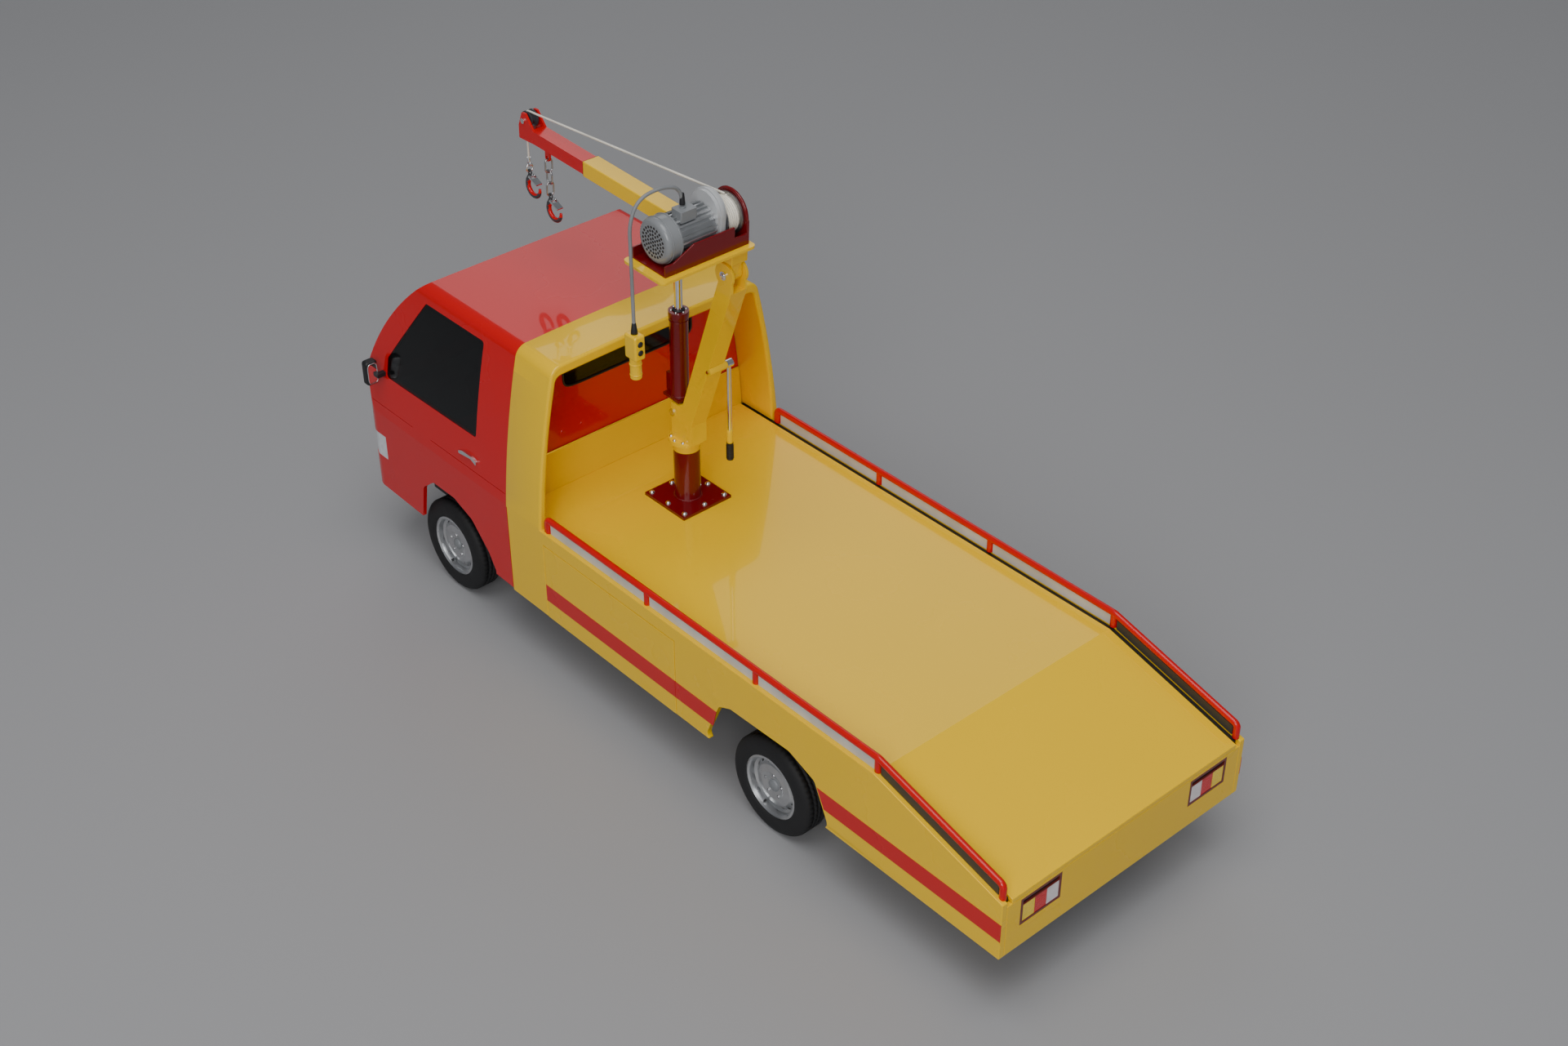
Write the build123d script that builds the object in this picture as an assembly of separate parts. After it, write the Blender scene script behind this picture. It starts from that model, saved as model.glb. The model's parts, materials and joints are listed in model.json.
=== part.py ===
from build123d import *
import math
import os

# Toy flat-bed tow truck with a small electric pillar crane, 1:16.
# Millimetres. While a piece is drawn, X runs from the rear face of the bed (0) to the front,
# +Y is the truck's left and Z = 0 is the ground. CENTRE moves everything to the middle of its length.

# ---- whole truck ----
TRUCK_LENGTH = 304.0
HALF_WIDTH = 50.0
CENTRE = Pos(-TRUCK_LENGTH / 2, 0, 0)

# ---- bed ----
SILL_Z = 21.7
DECK_Z = 54.8
REAR_DECK_Z = 41.7
BREAK_X = 49.3
BED_FRONT_X = 218.9
DECK_THICKNESS = 1.6
DECK_HALF_WIDTH = 46.2
SKIRT_INNER_Y = 48.0
TAIL_THICKNESS = 1.6
BEARER_DROP = DECK_THICKNESS + 0.6
CHANNEL_DROP = 0.7
LOCKER_X = (135.0, 200.0)
LOCKER_TOP_Z = 49.9
LOCKER_DEPTH = 1.0
SEAM = 0.15
REAR_ARCH = [(121.8, 21), (114.8, 37.2), (109.5, 39.6), (84, 40.3), (73.2, 36.2), (66.3, 21)]

# ---- side rails ----
RAIL_Y = 48.1
RAIL_Z = 59.4
RAIL_RADIUS = 1.05
RAIL_FRONT_X = 199.4
RAIL_REAR = (1.9, 46.8)
POST_RADIUS = 1.15
POST_X = [198.6, 149.4, 99.9, 49.4]
STRIP_THICKNESS = 0.7

# ---- tail lamps ----
LAMP_Y = (26.6, 42.6)
LAMP_Z = (29.6, 39.2)
LAMP_FRAME = 0.9
LAMP_SLOT_Z = 36.6

# ---- cab ----
CAB_REAR_X = 219.0
CAB_WALL = 1.4
BELT_Z = 55.4
CREASE_Z = 59.4
GUARD_REAR_X = 201.0
REAR_WALL_X = 217.0
BULKHEAD_TOP_Z = 69.3
GRILLE_X = 300.4
FRONT_ARCH = [(226.5, 21), (231.8, 30), (240.3, 38.6), (250, 42.2), (262, 42.2), (268.6, 37), (271.6, 21)]
SIDE_WINDOW = [(287.0, 71.3), (286.6, 78.5), (267.2, 105.4), (235.2, 105.4), (235.7, 72.0)]
WINDSCREEN = [(-41.0, 65.5), (41.0, 65.5), (35.5, 104.8), (-35.5, 104.8)]
REAR_WINDOW = [(-26, 90.0), (26, 90.0), (26, 103.2), (-26, 103.2)]
GLASS_DEPTH = (0.15, 1.15)

# ---- wheels ----
AXLE_X = {"rear": 95.5, "front": 258.2}
TYRE_RADIUS = 16.75
TYRE_WIDTH = 9.5
RIM_RADIUS = 10.7
WHEEL_FACE_Y = 47.5
AXLE_RADIUS = 1.25
AXLE_BORE_RADIUS = 1.32
RIM_HOLES = 16
RIM_HOLE_CIRCLE = 8.15

# ---- crane: pillar and mast ----
CRANE_X = 185.0
CRANE_Y = 2.9
BASE_SIZE = 19.6
BASE_TOP_Z = DECK_Z + 1.0
PILLAR_RADIUS = 4.25
PILLAR_TOP_Z = 73.7
SPIGOT_RADIUS = 3.0
COLLAR_Z = (73.8, 76.6)
FLANGE_Z = 78.0
FOOT_TOP_Z = 90.4
MAST_HALF_WIDTH = 3.06
MAST_DEPTH = 6.2
MAST_LEAN = 0.358
MAST_REAR_X = 181.2
PIVOT = (161.45, CRANE_Y, 145.95)
CHEEK_RADIUS = 3.9
SLOT_HALF_WIDTH = 2.2
PIVOT_PIN_RADIUS = 0.9
LEVER_HUB = (169.9, 109.3)
LEVER_Y = -MAST_HALF_WIDTH - 2.15
LEVER_GRIP_Z = (74.4, 80.5)

# ---- crane: jack ----
JACK_FOOT = (187.6, 86.8)
JACK_HEAD_IN_BOOM = (25.0, 2.2)
JACK_PIN_RADIUS = 0.8
BARREL_RADIUS = 2.95
ROD_RADIUS = 1.3
ROD_BORE_RADIUS = 1.38

# ---- crane: boom, drawn level with its hinge at the origin, then pitched ----
BOOM_PITCH = 2.29
BOOM_BOTTOM = 4.39
BOOM_HEIGHT = 5.14
BOOM_HALF_WIDTH = 3.06
BOOM_WALL = 0.35
BOOM_REAR = -3.45
BOOM_FRONT = 66.6
INNER_HALF_WIDTH = 2.65
INNER_HEIGHT = 4.32
INNER_REAR = 34.0
SHEAVE = (97.4, 11.0)
SHEAVE_GROOVE_RADIUS = 1.9
SHEAVE_RADIUS = 2.75
SHEAVE_PIN_RADIUS = 0.6
ROPE_RADIUS = 0.35
ROPE_GAP = 0.05

# ---- crane: winch, in the boom's own frame, Y from the crane's middle ----
PLATE_U = (-6.3, 11.8)
PLATE_Y = (-3.9, 31.0)
PLATE_THICKNESS = 0.85
TRAY_U = (-4.3, 10.6)
TRAY_Y = (-2.6, 28.3)
TRAY_WALL = 0.6
TRAY_FLOOR = 0.5
WINCH_AXIS = (3.15, 18.1)
MOTOR_Y = (8.0, 22.6)
MOTOR_RADIUS = 5.5
FIN_RADIUS = 6.4
FIN_COUNT = 24
COVER_RADIUS = 6.9
WINDING_RADIUS = 5.7
DRUM_RADIUS = 5.0
FLANGE_RADIUS = 6.4
SHAFT_RADIUS = 0.85
SHAFT_BORE_RADIUS = 0.9
BOX_TOP = 8.3
GLAND_TOP = 9.0
GLAND_PLACE = (-1.5, 17.2)

# ---- hooks, chain, hand control ----
CABLE_RADIUS = 0.55
WIRE = 0.28
LINK_HALF_WIDTH = 1.3
LINK_LENGTH = 4.64
LINK_STEP = LINK_LENGTH - 2 * WIRE - 0.04
CHAIN_X = 250.0
CHAIN_TOP_Z = 149.96
ROPE_RING_Z = 144.22
LATCH_LENGTH = 4.1
LATCH_SLOPE = 24.6
LATCH_PIN_RADIUS = 0.3


# ================= drawing helpers =================
def block(x0, x1, y0, y1, z0, z1):
    """Box between two corners."""
    return Pos((x0 + x1) / 2, (y0 + y1) / 2, (z0 + z1) / 2) * Box(x1 - x0, y1 - y0, z1 - z0)


def polygon(points, radius=0.0):
    """Closed outline, with its corners rounded if a radius is given."""
    face = make_face(Polyline(*points, close=True))
    if radius > 0:
        face = fillet(face.vertices(), radius)
    return face


def slab(face, y0, y1):
    """Extrude a face drawn in x, z from y0 to y1."""
    return Pos(0, y1, 0) * Rot(90, 0, 0) * extrude(face, y1 - y0)


def front_slab(face, x0, x1):
    """Extrude a face drawn in y, z from x0 to x1."""
    return extrude(Plane.YZ.offset(x0) * face, x1 - x0)


def rod_y(x, z, radius, y0, y1):
    """Cylinder along Y."""
    return Pos(x, (y0 + y1) / 2, z) * Rot(90, 0, 0) * Cylinder(radius, y1 - y0)


def rod_z(x, y, radius, z0, z1):
    """Cylinder along Z."""
    return Pos(x, y, (z0 + z1) / 2) * Cylinder(radius, z1 - z0)


def rod_x(y, z, radius, x0, x1):
    """Cylinder along X."""
    return Pos((x0 + x1) / 2, y, z) * Rot(0, 90, 0) * Cylinder(radius, x1 - x0)


def turned_y(profile, x, z, y, side):
    """Turn a (radius, depth) profile about Y; depth runs inwards from y on the given side."""
    ring = revolve(profile, Axis.Y)
    if side > 0:
        ring = mirror(ring, Plane.XZ)
    return Pos(x, side * y, z) * ring


def both_sides(shape):
    """A shape and its mirror image on the truck's other side."""
    return [shape, mirror(shape, Plane.XZ)]


def group(shapes):
    """Several separate solids kept as one sub-part."""
    return Compound(children=[solid for shape in shapes for solid in shape.solids()])


def dome_bolt(radius, height):
    """Round-headed bolt standing on Z = 0."""
    ball = (radius ** 2 + height ** 2) / (2 * height)
    return (Pos(0, 0, height - ball) * Sphere(ball)) & block(-radius, radius, -radius, radius, 0, height)


# ================= bed =================
def bed_profile(lower_by, bottom):
    """Bed side view from the rear face to the cab, its top lowered by lower_by."""
    return polygon([
        (0, bottom),
        (0, REAR_DECK_Z - lower_by),
        (BREAK_X, DECK_Z - lower_by),
        (BED_FRONT_X, DECK_Z - lower_by),
        (BED_FRONT_X, bottom),
    ])


def arch_cut(points):
    """Wheel arch opening through both sides."""
    return slab(polygon(points, 2.5), -60, 60)


def side_skirts():
    panel = slab(bed_profile(0, SILL_Z), SKIRT_INNER_Y, HALF_WIDTH) - arch_cut(REAR_ARCH)
    x0, x1 = LOCKER_X
    pocket = block(x0, x1, HALF_WIDTH - LOCKER_DEPTH, HALF_WIDTH + 1, SILL_Z - 1, LOCKER_TOP_Z)
    return group(both_sides(panel - pocket))


def locker_panels():
    """Flush panels between the wheels, one on each side."""
    x0, x1 = LOCKER_X
    y0 = HALF_WIDTH - LOCKER_DEPTH
    panel = block(x0 + SEAM, x1 - SEAM, y0, HALF_WIDTH, SILL_Z, LOCKER_TOP_Z - SEAM)
    return group(both_sides(panel))


def deck_plate():
    lower = bed_profile(DECK_THICKNESS, SILL_Z)
    deck = slab(bed_profile(0, SILL_Z) - lower, -DECK_HALF_WIDTH, DECK_HALF_WIDTH)
    return deck - block(REAR_WALL_X - 0.4, 230, -60, 60, 0, 90)


def edge_channels():
    """Dark strips in the grooves between the deck and the skirts."""
    outline = bed_profile(CHANNEL_DROP, SILL_Z) - bed_profile(BEARER_DROP, SILL_Z)
    strip = slab(outline, DECK_HALF_WIDTH, SKIRT_INNER_Y)
    strip -= block(REAR_WALL_X - 0.4, 230, 0, 60, 0, 90) + block(-1, TAIL_THICKNESS, 0, 60, 0, 90)
    return group(both_sides(strip))


def bed_frame():
    """Ladder under the deck: two side bearers, cross walls down to the chassis."""
    outline = bed_profile(BEARER_DROP, SILL_Z) - bed_profile(BEARER_DROP + 2.2, SILL_Z)
    bearers = both_sides(slab(outline, 43.5, SKIRT_INNER_Y) - block(-1, TAIL_THICKNESS, 0, 60, 0, 60))
    frame = bearers[0] + bearers[1]
    filled = slab(bed_profile(DECK_THICKNESS, 21.2), -44, 44)
    for x in (18, 62, 130, 172, 208):
        wall = block(x, x + 2.4, -44, 44, 21.2, 60)
        frame += wall & filled
    return frame


def tail_panel():
    panel = block(0, TAIL_THICKNESS, -SKIRT_INNER_Y, SKIRT_INNER_Y, SILL_Z, REAR_DECK_Z - DECK_THICKNESS)
    for window in both_sides(block(-1, 5, *LAMP_Y, *LAMP_Z)):
        panel -= window
    return panel


def lamp_bezels():
    (y0, y1), (z0, z1) = LAMP_Y, LAMP_Z
    frame = block(0, 1.4, y0, y1, z0, z1)
    frame -= block(-1, 0.5, y0 + LAMP_FRAME, y1 - LAMP_FRAME, z0 + LAMP_FRAME, LAMP_SLOT_Z)
    frame -= block(-1, 0.9, y0 + LAMP_FRAME, y1 - LAMP_FRAME, LAMP_SLOT_Z + 0.3, z1 - LAMP_FRAME)
    return group(both_sides(frame))


def tail_lenses():
    """Three lens panes in each tail lamp."""
    inner, outer = LAMP_Y[0] + LAMP_FRAME, LAMP_Y[1] - LAMP_FRAME
    third = (outer - inner) / 3
    lenses = []
    for i in range(3):
        y1 = outer - i * third
        lens = block(0.05, 0.5, y1 - third + 0.06, y1 - 0.06, LAMP_Z[0] + LAMP_FRAME, LAMP_SLOT_Z)
        lenses += both_sides(lens)
    return group(lenses)


# ================= side rails =================
def side_rails():
    end_x, end_z = RAIL_REAR
    path = FilletPolyline(
        (end_x, RAIL_Y, REAR_DECK_Z + 0.2), (end_x, RAIL_Y, end_z), (BREAK_X, RAIL_Y, RAIL_Z),
        (RAIL_FRONT_X, RAIL_Y, RAIL_Z), (RAIL_FRONT_X, RAIL_Y, DECK_Z), radius=1.6,
    )
    tube = sweep(Plane(path @ 0, z_dir=path % 0) * Circle(RAIL_RADIUS), path=path)
    for x in POST_X:
        tube += rod_z(x, RAIL_Y, POST_RADIUS, DECK_Z, RAIL_Z)
    return group(both_sides(tube - slab(bed_profile(0, 10), 40, 60)))


def rail_strips():
    """Flat strips that close the gap under the rails, level ones and sloping ones."""
    y0 = RAIL_Y - STRIP_THICKNESS / 2
    strips = []
    for front, rear in zip(POST_X[:-1], POST_X[1:]):
        strip = block(rear + 1.3, front - 1.3, y0, y0 + STRIP_THICKNESS, DECK_Z, RAIL_Z - 1.15)
        strips += both_sides(strip)
    outline = polygon([
        (RAIL_REAR[0] + 1.3, REAR_DECK_Z - 2),
        (RAIL_REAR[0] + 1.3, RAIL_REAR[1] - 1.2),
        (BREAK_X - 1.3, RAIL_Z - 1.75),
        (BREAK_X - 1.3, REAR_DECK_Z - 2),
    ])
    strip = slab(outline, y0, y0 + STRIP_THICKNESS) - slab(bed_profile(0, 10), 40, 60)
    return group(strips + both_sides(strip))


# ================= cab =================
def cab_front_view():
    """Cab outline seen from the front, with its sides leaning in above the belt line."""
    right = Line((HALF_WIDTH, 10), (HALF_WIDTH, BELT_Z))
    pillar = ThreePointArc((HALF_WIDTH, BELT_Z), (46.9, 81.5), (42.9, 102.5))
    shoulder = Line((42.9, 102.5), (41.0, 110.4))
    half = [right, pillar, shoulder]
    roof = ThreePointArc((41.0, 110.4), (0, 111.2), (-41.0, 110.4))
    sill = Line((-HALF_WIDTH, 10), (HALF_WIDTH, 10))
    face = make_face(half + [roof, sill] + [mirror(edge, Plane.YZ) for edge in half])
    return fillet(face.vertices().group_by(Axis.Y)[-1], 4.5)


def cab_side_view():
    """Cab outline seen from the side: upright nose, curved windscreen, flat roof."""
    nose = Line((302.0, 10), (302.8, 46))
    lower = TangentArc((302.8, 46), (295.4, 78.5), tangent=(0, 1))
    upper = TangentArc((295.4, 78.5), (268.5, 111.6), tangent=lower % 1)
    outline = [nose, lower, upper, Line((268.5, 111.6), (CAB_REAR_X, 111.6)),
               Line((CAB_REAR_X, 111.6), (CAB_REAR_X, 10)), Line((CAB_REAR_X, 10), (302.0, 10))]
    return make_face(outline)


def cab_plan_view():
    """Cab outline seen from above: a slightly bowed nose with round corners."""
    nose = ThreePointArc((301.0, -HALF_WIDTH), (303.0, 0), (301.0, HALF_WIDTH))
    outline = [nose, Line((301.0, HALF_WIDTH), (CAB_REAR_X, HALF_WIDTH)),
               Line((CAB_REAR_X, HALF_WIDTH), (CAB_REAR_X, -HALF_WIDTH)),
               Line((CAB_REAR_X, -HALF_WIDTH), (301.0, -HALF_WIDTH))]
    face = make_face(outline)
    return fillet(face.vertices().group_by(Axis.X)[-1], 7.0)


def cab_block(inset):
    """The cab's solid form, shrunk by inset on every side."""
    front, side, plan = cab_front_view(), cab_side_view(), cab_plan_view()
    if inset > 0:
        front, side, plan = [offset(view, -inset) for view in (front, side, plan)]
    form = front_slab(front, CAB_REAR_X, 310) & slab(side, -60, 60)
    return form & extrude(plan, 130)


def guard_opening():
    """Inside outline of the yellow cab guard, seen from the rear."""
    side = ThreePointArc((47.3, 50), (45.2, 78), (40.4, 103))
    top = ThreePointArc((39.6, 106.8), (0, 107.4), (-39.6, 106.8))
    half = [side, Line((40.4, 103), (39.6, 106.8))]
    edges = half + [top] + [mirror(edge, Plane.YZ) for edge in half] + [Line((-47.3, 50), (47.3, 50))]
    face = make_face(edges)
    return fillet(face.vertices().group_by(Axis.Y)[-1] + face.vertices().group_by(Axis.Y)[-2], 2.6)


def sill_cut():
    """Everything below the cab's slightly rising lower edge."""
    return slab(polygon([(200, 0), (200, 22.2), (310, 25.0), (310, 0)]), -60, 60)


def cab_crease():
    """Shallow groove along the belt line, broken for a stretch."""
    depth = 0.2
    spans = [(219.5, 261.5), (272.0, 298.0)]
    return [block(a, b, HALF_WIDTH - 0.85, HALF_WIDTH + 1, CREASE_Z - depth, CREASE_Z) for a, b in spans]


def cab_shell():
    shell = cab_block(0) - cab_block(CAB_WALL)
    rear = front_slab(offset(guard_opening(), -0.12), REAR_WALL_X, CAB_REAR_X + 1.0)
    shell += rear - block(200, 240, -60, 60, 0, BULKHEAD_TOP_Z)
    shell -= sill_cut()
    shell -= arch_cut(FRONT_ARCH)
    shell -= slab(polygon(SIDE_WINDOW, 1.2), -60, 60)
    shell -= front_slab(polygon(WINDSCREEN, 3.0), 262, 310)
    shell -= front_slab(polygon(REAR_WINDOW, 2.0), 210, 225)
    for groove in cab_crease():
        for cut in both_sides(groove):
            shell -= cut
    shell -= grille_space()
    for pocket in both_sides(headlamp_space()):
        shell -= pocket
    return shell


def cab_glazing():
    """Windscreen, two side windows and rear window."""
    near, far = GLASS_DEPTH
    outer, inner = cab_block(near), cab_block(far)
    screen = (outer & front_slab(polygon(WINDSCREEN, 3.0), 262, 310)) - inner
    side = (outer & slab(polygon(SIDE_WINDOW, 1.2), 30, 60)) - inner
    rear = front_slab(polygon(REAR_WINDOW, 2.0), REAR_WALL_X + 0.2, REAR_WALL_X + 1.4)
    return group([screen, rear] + both_sides(side))


def bulkhead_panel():
    """Yellow plate that closes the bed below the cab's rear wall."""
    outline = offset(guard_opening(), -0.12)
    plate = front_slab(outline, REAR_WALL_X - 0.4, CAB_REAR_X)
    return plate & block(200, 240, -60, 60, DECK_Z - BEARER_DROP, BULKHEAD_TOP_Z)


def cab_guard():
    """Yellow hoop between the bed and the cab."""
    hoop = front_slab(cab_front_view() - guard_opening(), GUARD_REAR_X, CAB_REAR_X)
    hoop -= block(190, 230, -60, 60, 0, DECK_Z)
    rear_edges = [edge for edge in hoop.edges().group_by(Axis.X)[0] if edge.center().Z > DECK_Z + 0.5]
    return fillet(rear_edges, 0.9)


def headlamp_space():
    """Corner form of one headlamp, inside the cab's skin."""
    return block(290, 310, 29.0, 60, 37.3, 46.6) - block(280, 298.5, 0, 47.6, 0, 60)


def headlamps():
    lamp = (cab_block(0.1) - cab_block(2.6)) & headlamp_space()
    return group(both_sides(lamp))


def grille_space():
    return block(GRILLE_X, 310, -47.0, 47.0, 47.5, 56.5)


def grille():
    """Dark band between the headlamps and the windscreen, with slats."""
    band = (cab_block(0.5) - cab_block(2.4)) & grille_space()
    for z in (49.2, 51.4, 53.6):
        band -= (cab_block(0.4) - cab_block(0.9)) & block(296, 310, -26, 26, z, z + 1.0)
    return band


def front_bumper():
    """Lower lip across the nose, reaching the truck's full length."""
    lip = block(298, TRUCK_LENGTH, -43, 43, 25.6, 33.0)
    lip = fillet(lip.edges().filter_by(Axis.Z).group_by(Axis.X)[-1], 5.0)
    lip = fillet(lip.faces().sort_by(Axis.X)[-1].edges(), 0.8)
    lip -= block(302.9, 310, -20, 20, 27.2, 31.2)
    return lip - cab_block(0)


def door_handles():
    bar = slab(polygon([(234.5, 62.6), (234.5, 64.0), (237, 64.9), (242, 64.9), (244.2, 64.0),
                        (244.2, 63.0), (237.4, 63.9)], 0.3), 48.6, 50.1)
    return group(both_sides(bar - cab_block(0)))


def mirrors():
    """Door mirror housings on short arms, open at the rear for the glass."""
    arm = block(287.6, 289.4, 46.0, 51.4, 71.6, 73.0)
    housing = Pos(290.6, 52.3, 73.4) * Box(3.4, 4.6, 9.0)
    housing = fillet(housing.edges(), 1.1)
    glass_seat = block(288.0, 289.3, 50.6, 54.0, 69.9, 76.9)
    return group(both_sides((arm - cab_block(0)) + (housing - glass_seat)))


def cab_interior():
    """One moulding: floor, engine hump, dashboard, steering wheel and two seats."""
    tub = block(222, 296, -34, 34, 21.2, 27.0)
    tub += block(222, 262, -34, 34, 27.0, 44.0)
    for y in (-19, 19):
        seat = block(226, 247, y - 14, y + 14, 44.0, 49.0)
        back = block(222, 228, y - 14, y + 14, 44.0, 82.0)
        head = block(222.5, 227, y - 7, y + 7, 82.0, 92.0)
        tub += fillet(seat.edges().filter_by(Axis.Y), 2.0)
        tub += fillet(back.edges().filter_by(Axis.Y), 2.0) + head
    dash = block(281, 297, -43, 43, 48.0, 63.0)
    dash = fillet(dash.edges().filter_by(Axis.Y).sort_by(Axis.Z)[-1], 3.0)
    column = block(286, 292, -8, 8, 27.0, 48.0)
    return tub + dash + column + steering_wheel()


def steering_wheel():
    wheel = Torus(7.0, 0.7)
    for angle in (90, 210, 330):
        wheel += Rot(0, 0, angle) * block(0, 7.0, -0.6, 0.6, -0.4, 0.4)
    wheel += Cylinder(1.8, 1.2)
    wheel += rod_z(0, 0, 0.8, -9.0, 0)
    return Pos(274.6, 18, 61.0) * Rot(0, -58, 0) * wheel


# ================= chassis and wheels =================
def chassis():
    floor = block(4.0, 290.0, -33, 33, 18.6, 21.2)
    for x in AXLE_X.values():
        for saddle in both_sides(block(x - 5, x + 5, 26, 33, 13.6, 18.6)):
            floor += saddle
        floor -= rod_y(x, TYRE_RADIUS, AXLE_BORE_RADIUS, -40, 40)
    for side_beam in both_sides(block(110, 240, 14, 18, 14.6, 18.6)):
        floor += side_beam
    for x, y in screw_places():
        floor -= rod_z(x, y, 1.0, 10, 21.0)
    return floor


def screw_places():
    return [(x, y) for x in (20.0, 150.0, 284.0) for y in (-10.0, 10.0)]


def underside_fasteners():
    """Cross-head chassis screws and the caps under the axle saddles."""
    pieces = []
    for x, y in screw_places():
        screw = rod_z(x, y, 1.0, 18.0, 20.8) + rod_z(x, y, 1.9, 17.2, 18.6)
        screw -= block(x - 1.3, x + 1.3, y - 0.25, y + 0.25, 17.0, 17.6)
        screw -= block(x - 0.25, x + 0.25, y - 1.3, y + 1.3, 17.0, 17.6)
        pieces.append(screw)
    for x in AXLE_X.values():
        pieces += both_sides(block(x - 5.6, x + 5.6, 26.4, 32.6, 12.4, 13.6))
    return group(pieces)


def tyres(x):
    r, w = TYRE_RADIUS, TYRE_WIDTH
    outline = polygon([
        (RIM_RADIUS, 0.9), (13.4, 0.0), (r - 0.9, 0.5), (r, 1.7),
        (r, w - 1.7), (r - 0.9, w - 0.5), (13.4, w), (RIM_RADIUS, w - 0.9),
    ], 0.45)
    return group([turned_y(outline, x, TYRE_RADIUS, WHEEL_FACE_Y, side) for side in (1, -1)])


def rims(x):
    """Pressed steel wheel: barrel, raised dish, ring of holes and hub sleeve."""
    outline = polygon([
        (RIM_RADIUS, 0.6), (10.1, 0.4), (9.6, 0.9), (9.4, 2.6), (8.6, 3.2), (7.0, 2.0), (4.8, 1.5),
        (3.0, 2.1), (AXLE_RADIUS, 2.1), (AXLE_RADIUS, 8.2), (2.6, 8.2), (2.6, 3.4), (4.8, 2.6),
        (6.8, 3.1), (8.4, 4.3), (9.8, 4.0), (9.9, 8.8), (RIM_RADIUS, 8.8),
    ])
    wheels = []
    for side in (1, -1):
        wheel = turned_y(outline, x, TYRE_RADIUS, WHEEL_FACE_Y, side)
        for i in range(RIM_HOLES):
            angle = 2 * math.pi * i / RIM_HOLES
            hole_x = x + RIM_HOLE_CIRCLE * math.cos(angle)
            hole_z = TYRE_RADIUS + RIM_HOLE_CIRCLE * math.sin(angle)
            wheel -= rod_y(hole_x, hole_z, 0.5, side * WHEEL_FACE_Y - 8, side * WHEEL_FACE_Y + 8)
        wheels.append(wheel)
    return group(wheels)


def axle(x):
    reach = WHEEL_FACE_Y - 2.1
    return rod_y(x, TYRE_RADIUS, AXLE_RADIUS, -reach, reach)


# ================= crane: pillar and mast =================
def at_crane(shape):
    """From the crane's own middle plane to its place on the bed."""
    return Pos(0, CRANE_Y, 0) * shape


def crane_base():
    half = BASE_SIZE / 2
    base = block(CRANE_X - half, CRANE_X + half, -half, half, DECK_Z, BASE_TOP_Z)
    base += rod_z(CRANE_X, 0, PILLAR_RADIUS, BASE_TOP_Z, PILLAR_TOP_Z)
    base += rod_z(CRANE_X, 0, SPIGOT_RADIUS, PILLAR_TOP_Z, FLANGE_Z - 0.6)
    return at_crane(base)


def base_bolts():
    places = [(i, j) for i in (-8.2, 0, 8.2) for j in (-8.2, 0, 8.2) if i or j]
    return group([at_crane(Pos(CRANE_X + i, j, BASE_TOP_Z) * dome_bolt(0.95, 0.85)) for i, j in places])


def mast_outline():
    """Leaning box column with a round top about the boom hinge."""
    rear_foot = MAST_REAR_X
    top_z = PIVOT[2]
    rear_top = MAST_REAR_X - MAST_LEAN * (top_z - FLANGE_Z)
    column = polygon([
        (rear_foot, FLANGE_Z), (rear_foot + MAST_DEPTH, FLANGE_Z),
        (rear_top + MAST_DEPTH, top_z), (PIVOT[0] - CHEEK_RADIUS + 0.6, top_z), (rear_top + 1.4, top_z - 5),
    ])
    return column + Pos(PIVOT[0], PIVOT[2]) * Circle(CHEEK_RADIUS)


def mast():
    w = MAST_HALF_WIDTH
    body = rod_z(CRANE_X, 0, 4.4, *COLLAR_Z) + rod_z(CRANE_X, 0, 5.6, COLLAR_Z[1], FLANGE_Z)
    body -= rod_z(CRANE_X, 0, SPIGOT_RADIUS + 0.07, 0, FLANGE_Z - 0.5)
    body += block(178.6, 188.3, -w, w, FLANGE_Z, FOOT_TOP_Z)
    body += slab(mast_outline(), -w, w)
    body -= block(140, 175, -SLOT_HALF_WIDTH, SLOT_HALF_WIDTH, PIVOT[2] - 5.2, 170)
    foot_x, foot_z = JACK_FOOT
    body -= block(foot_x - 2.6, 190, -1.55, 1.55, foot_z - 2.6, 95)
    body -= rod_y(foot_x, foot_z, JACK_PIN_RADIUS, -5, 5)
    body -= rod_y(PIVOT[0], PIVOT[2], PIVOT_PIN_RADIUS, -5, 5)
    hub_x, hub_z = LEVER_HUB
    body += rod_y(hub_x, hub_z, 1.35, -w - 0.9, w)
    body -= rod_y(hub_x, hub_z, 0.62, -10, 10)
    return at_crane(body)


def headed_pin(x, z, radius, half_length):
    """Pin along Y with a low head at each end."""
    pin = rod_y(x, z, radius, -half_length, half_length)
    for side in (-1, 1):
        pin += rod_y(x, z, radius * 1.5, *sorted((side * half_length, side * (half_length + 0.5))))
    return pin


def mast_fasteners():
    """Boom hinge pin, jack foot pin and the bolts of the turning flange."""
    hinge = headed_pin(PIVOT[0], PIVOT[2], PIVOT_PIN_RADIUS, MAST_HALF_WIDTH)
    foot = headed_pin(JACK_FOOT[0], JACK_FOOT[1], JACK_PIN_RADIUS, MAST_HALF_WIDTH)
    bolts = [at_crane(hinge), at_crane(foot)]
    for side in (-1, 1):
        for angle in (-38, 0, 38):
            a = math.radians(90 * side + angle)
            place = Pos(CRANE_X + 4.75 * math.cos(a), 4.75 * math.sin(a), FLANGE_Z)
            bolts.append(at_crane(place * dome_bolt(0.6, 0.6)))
    return group(bolts)


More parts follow.
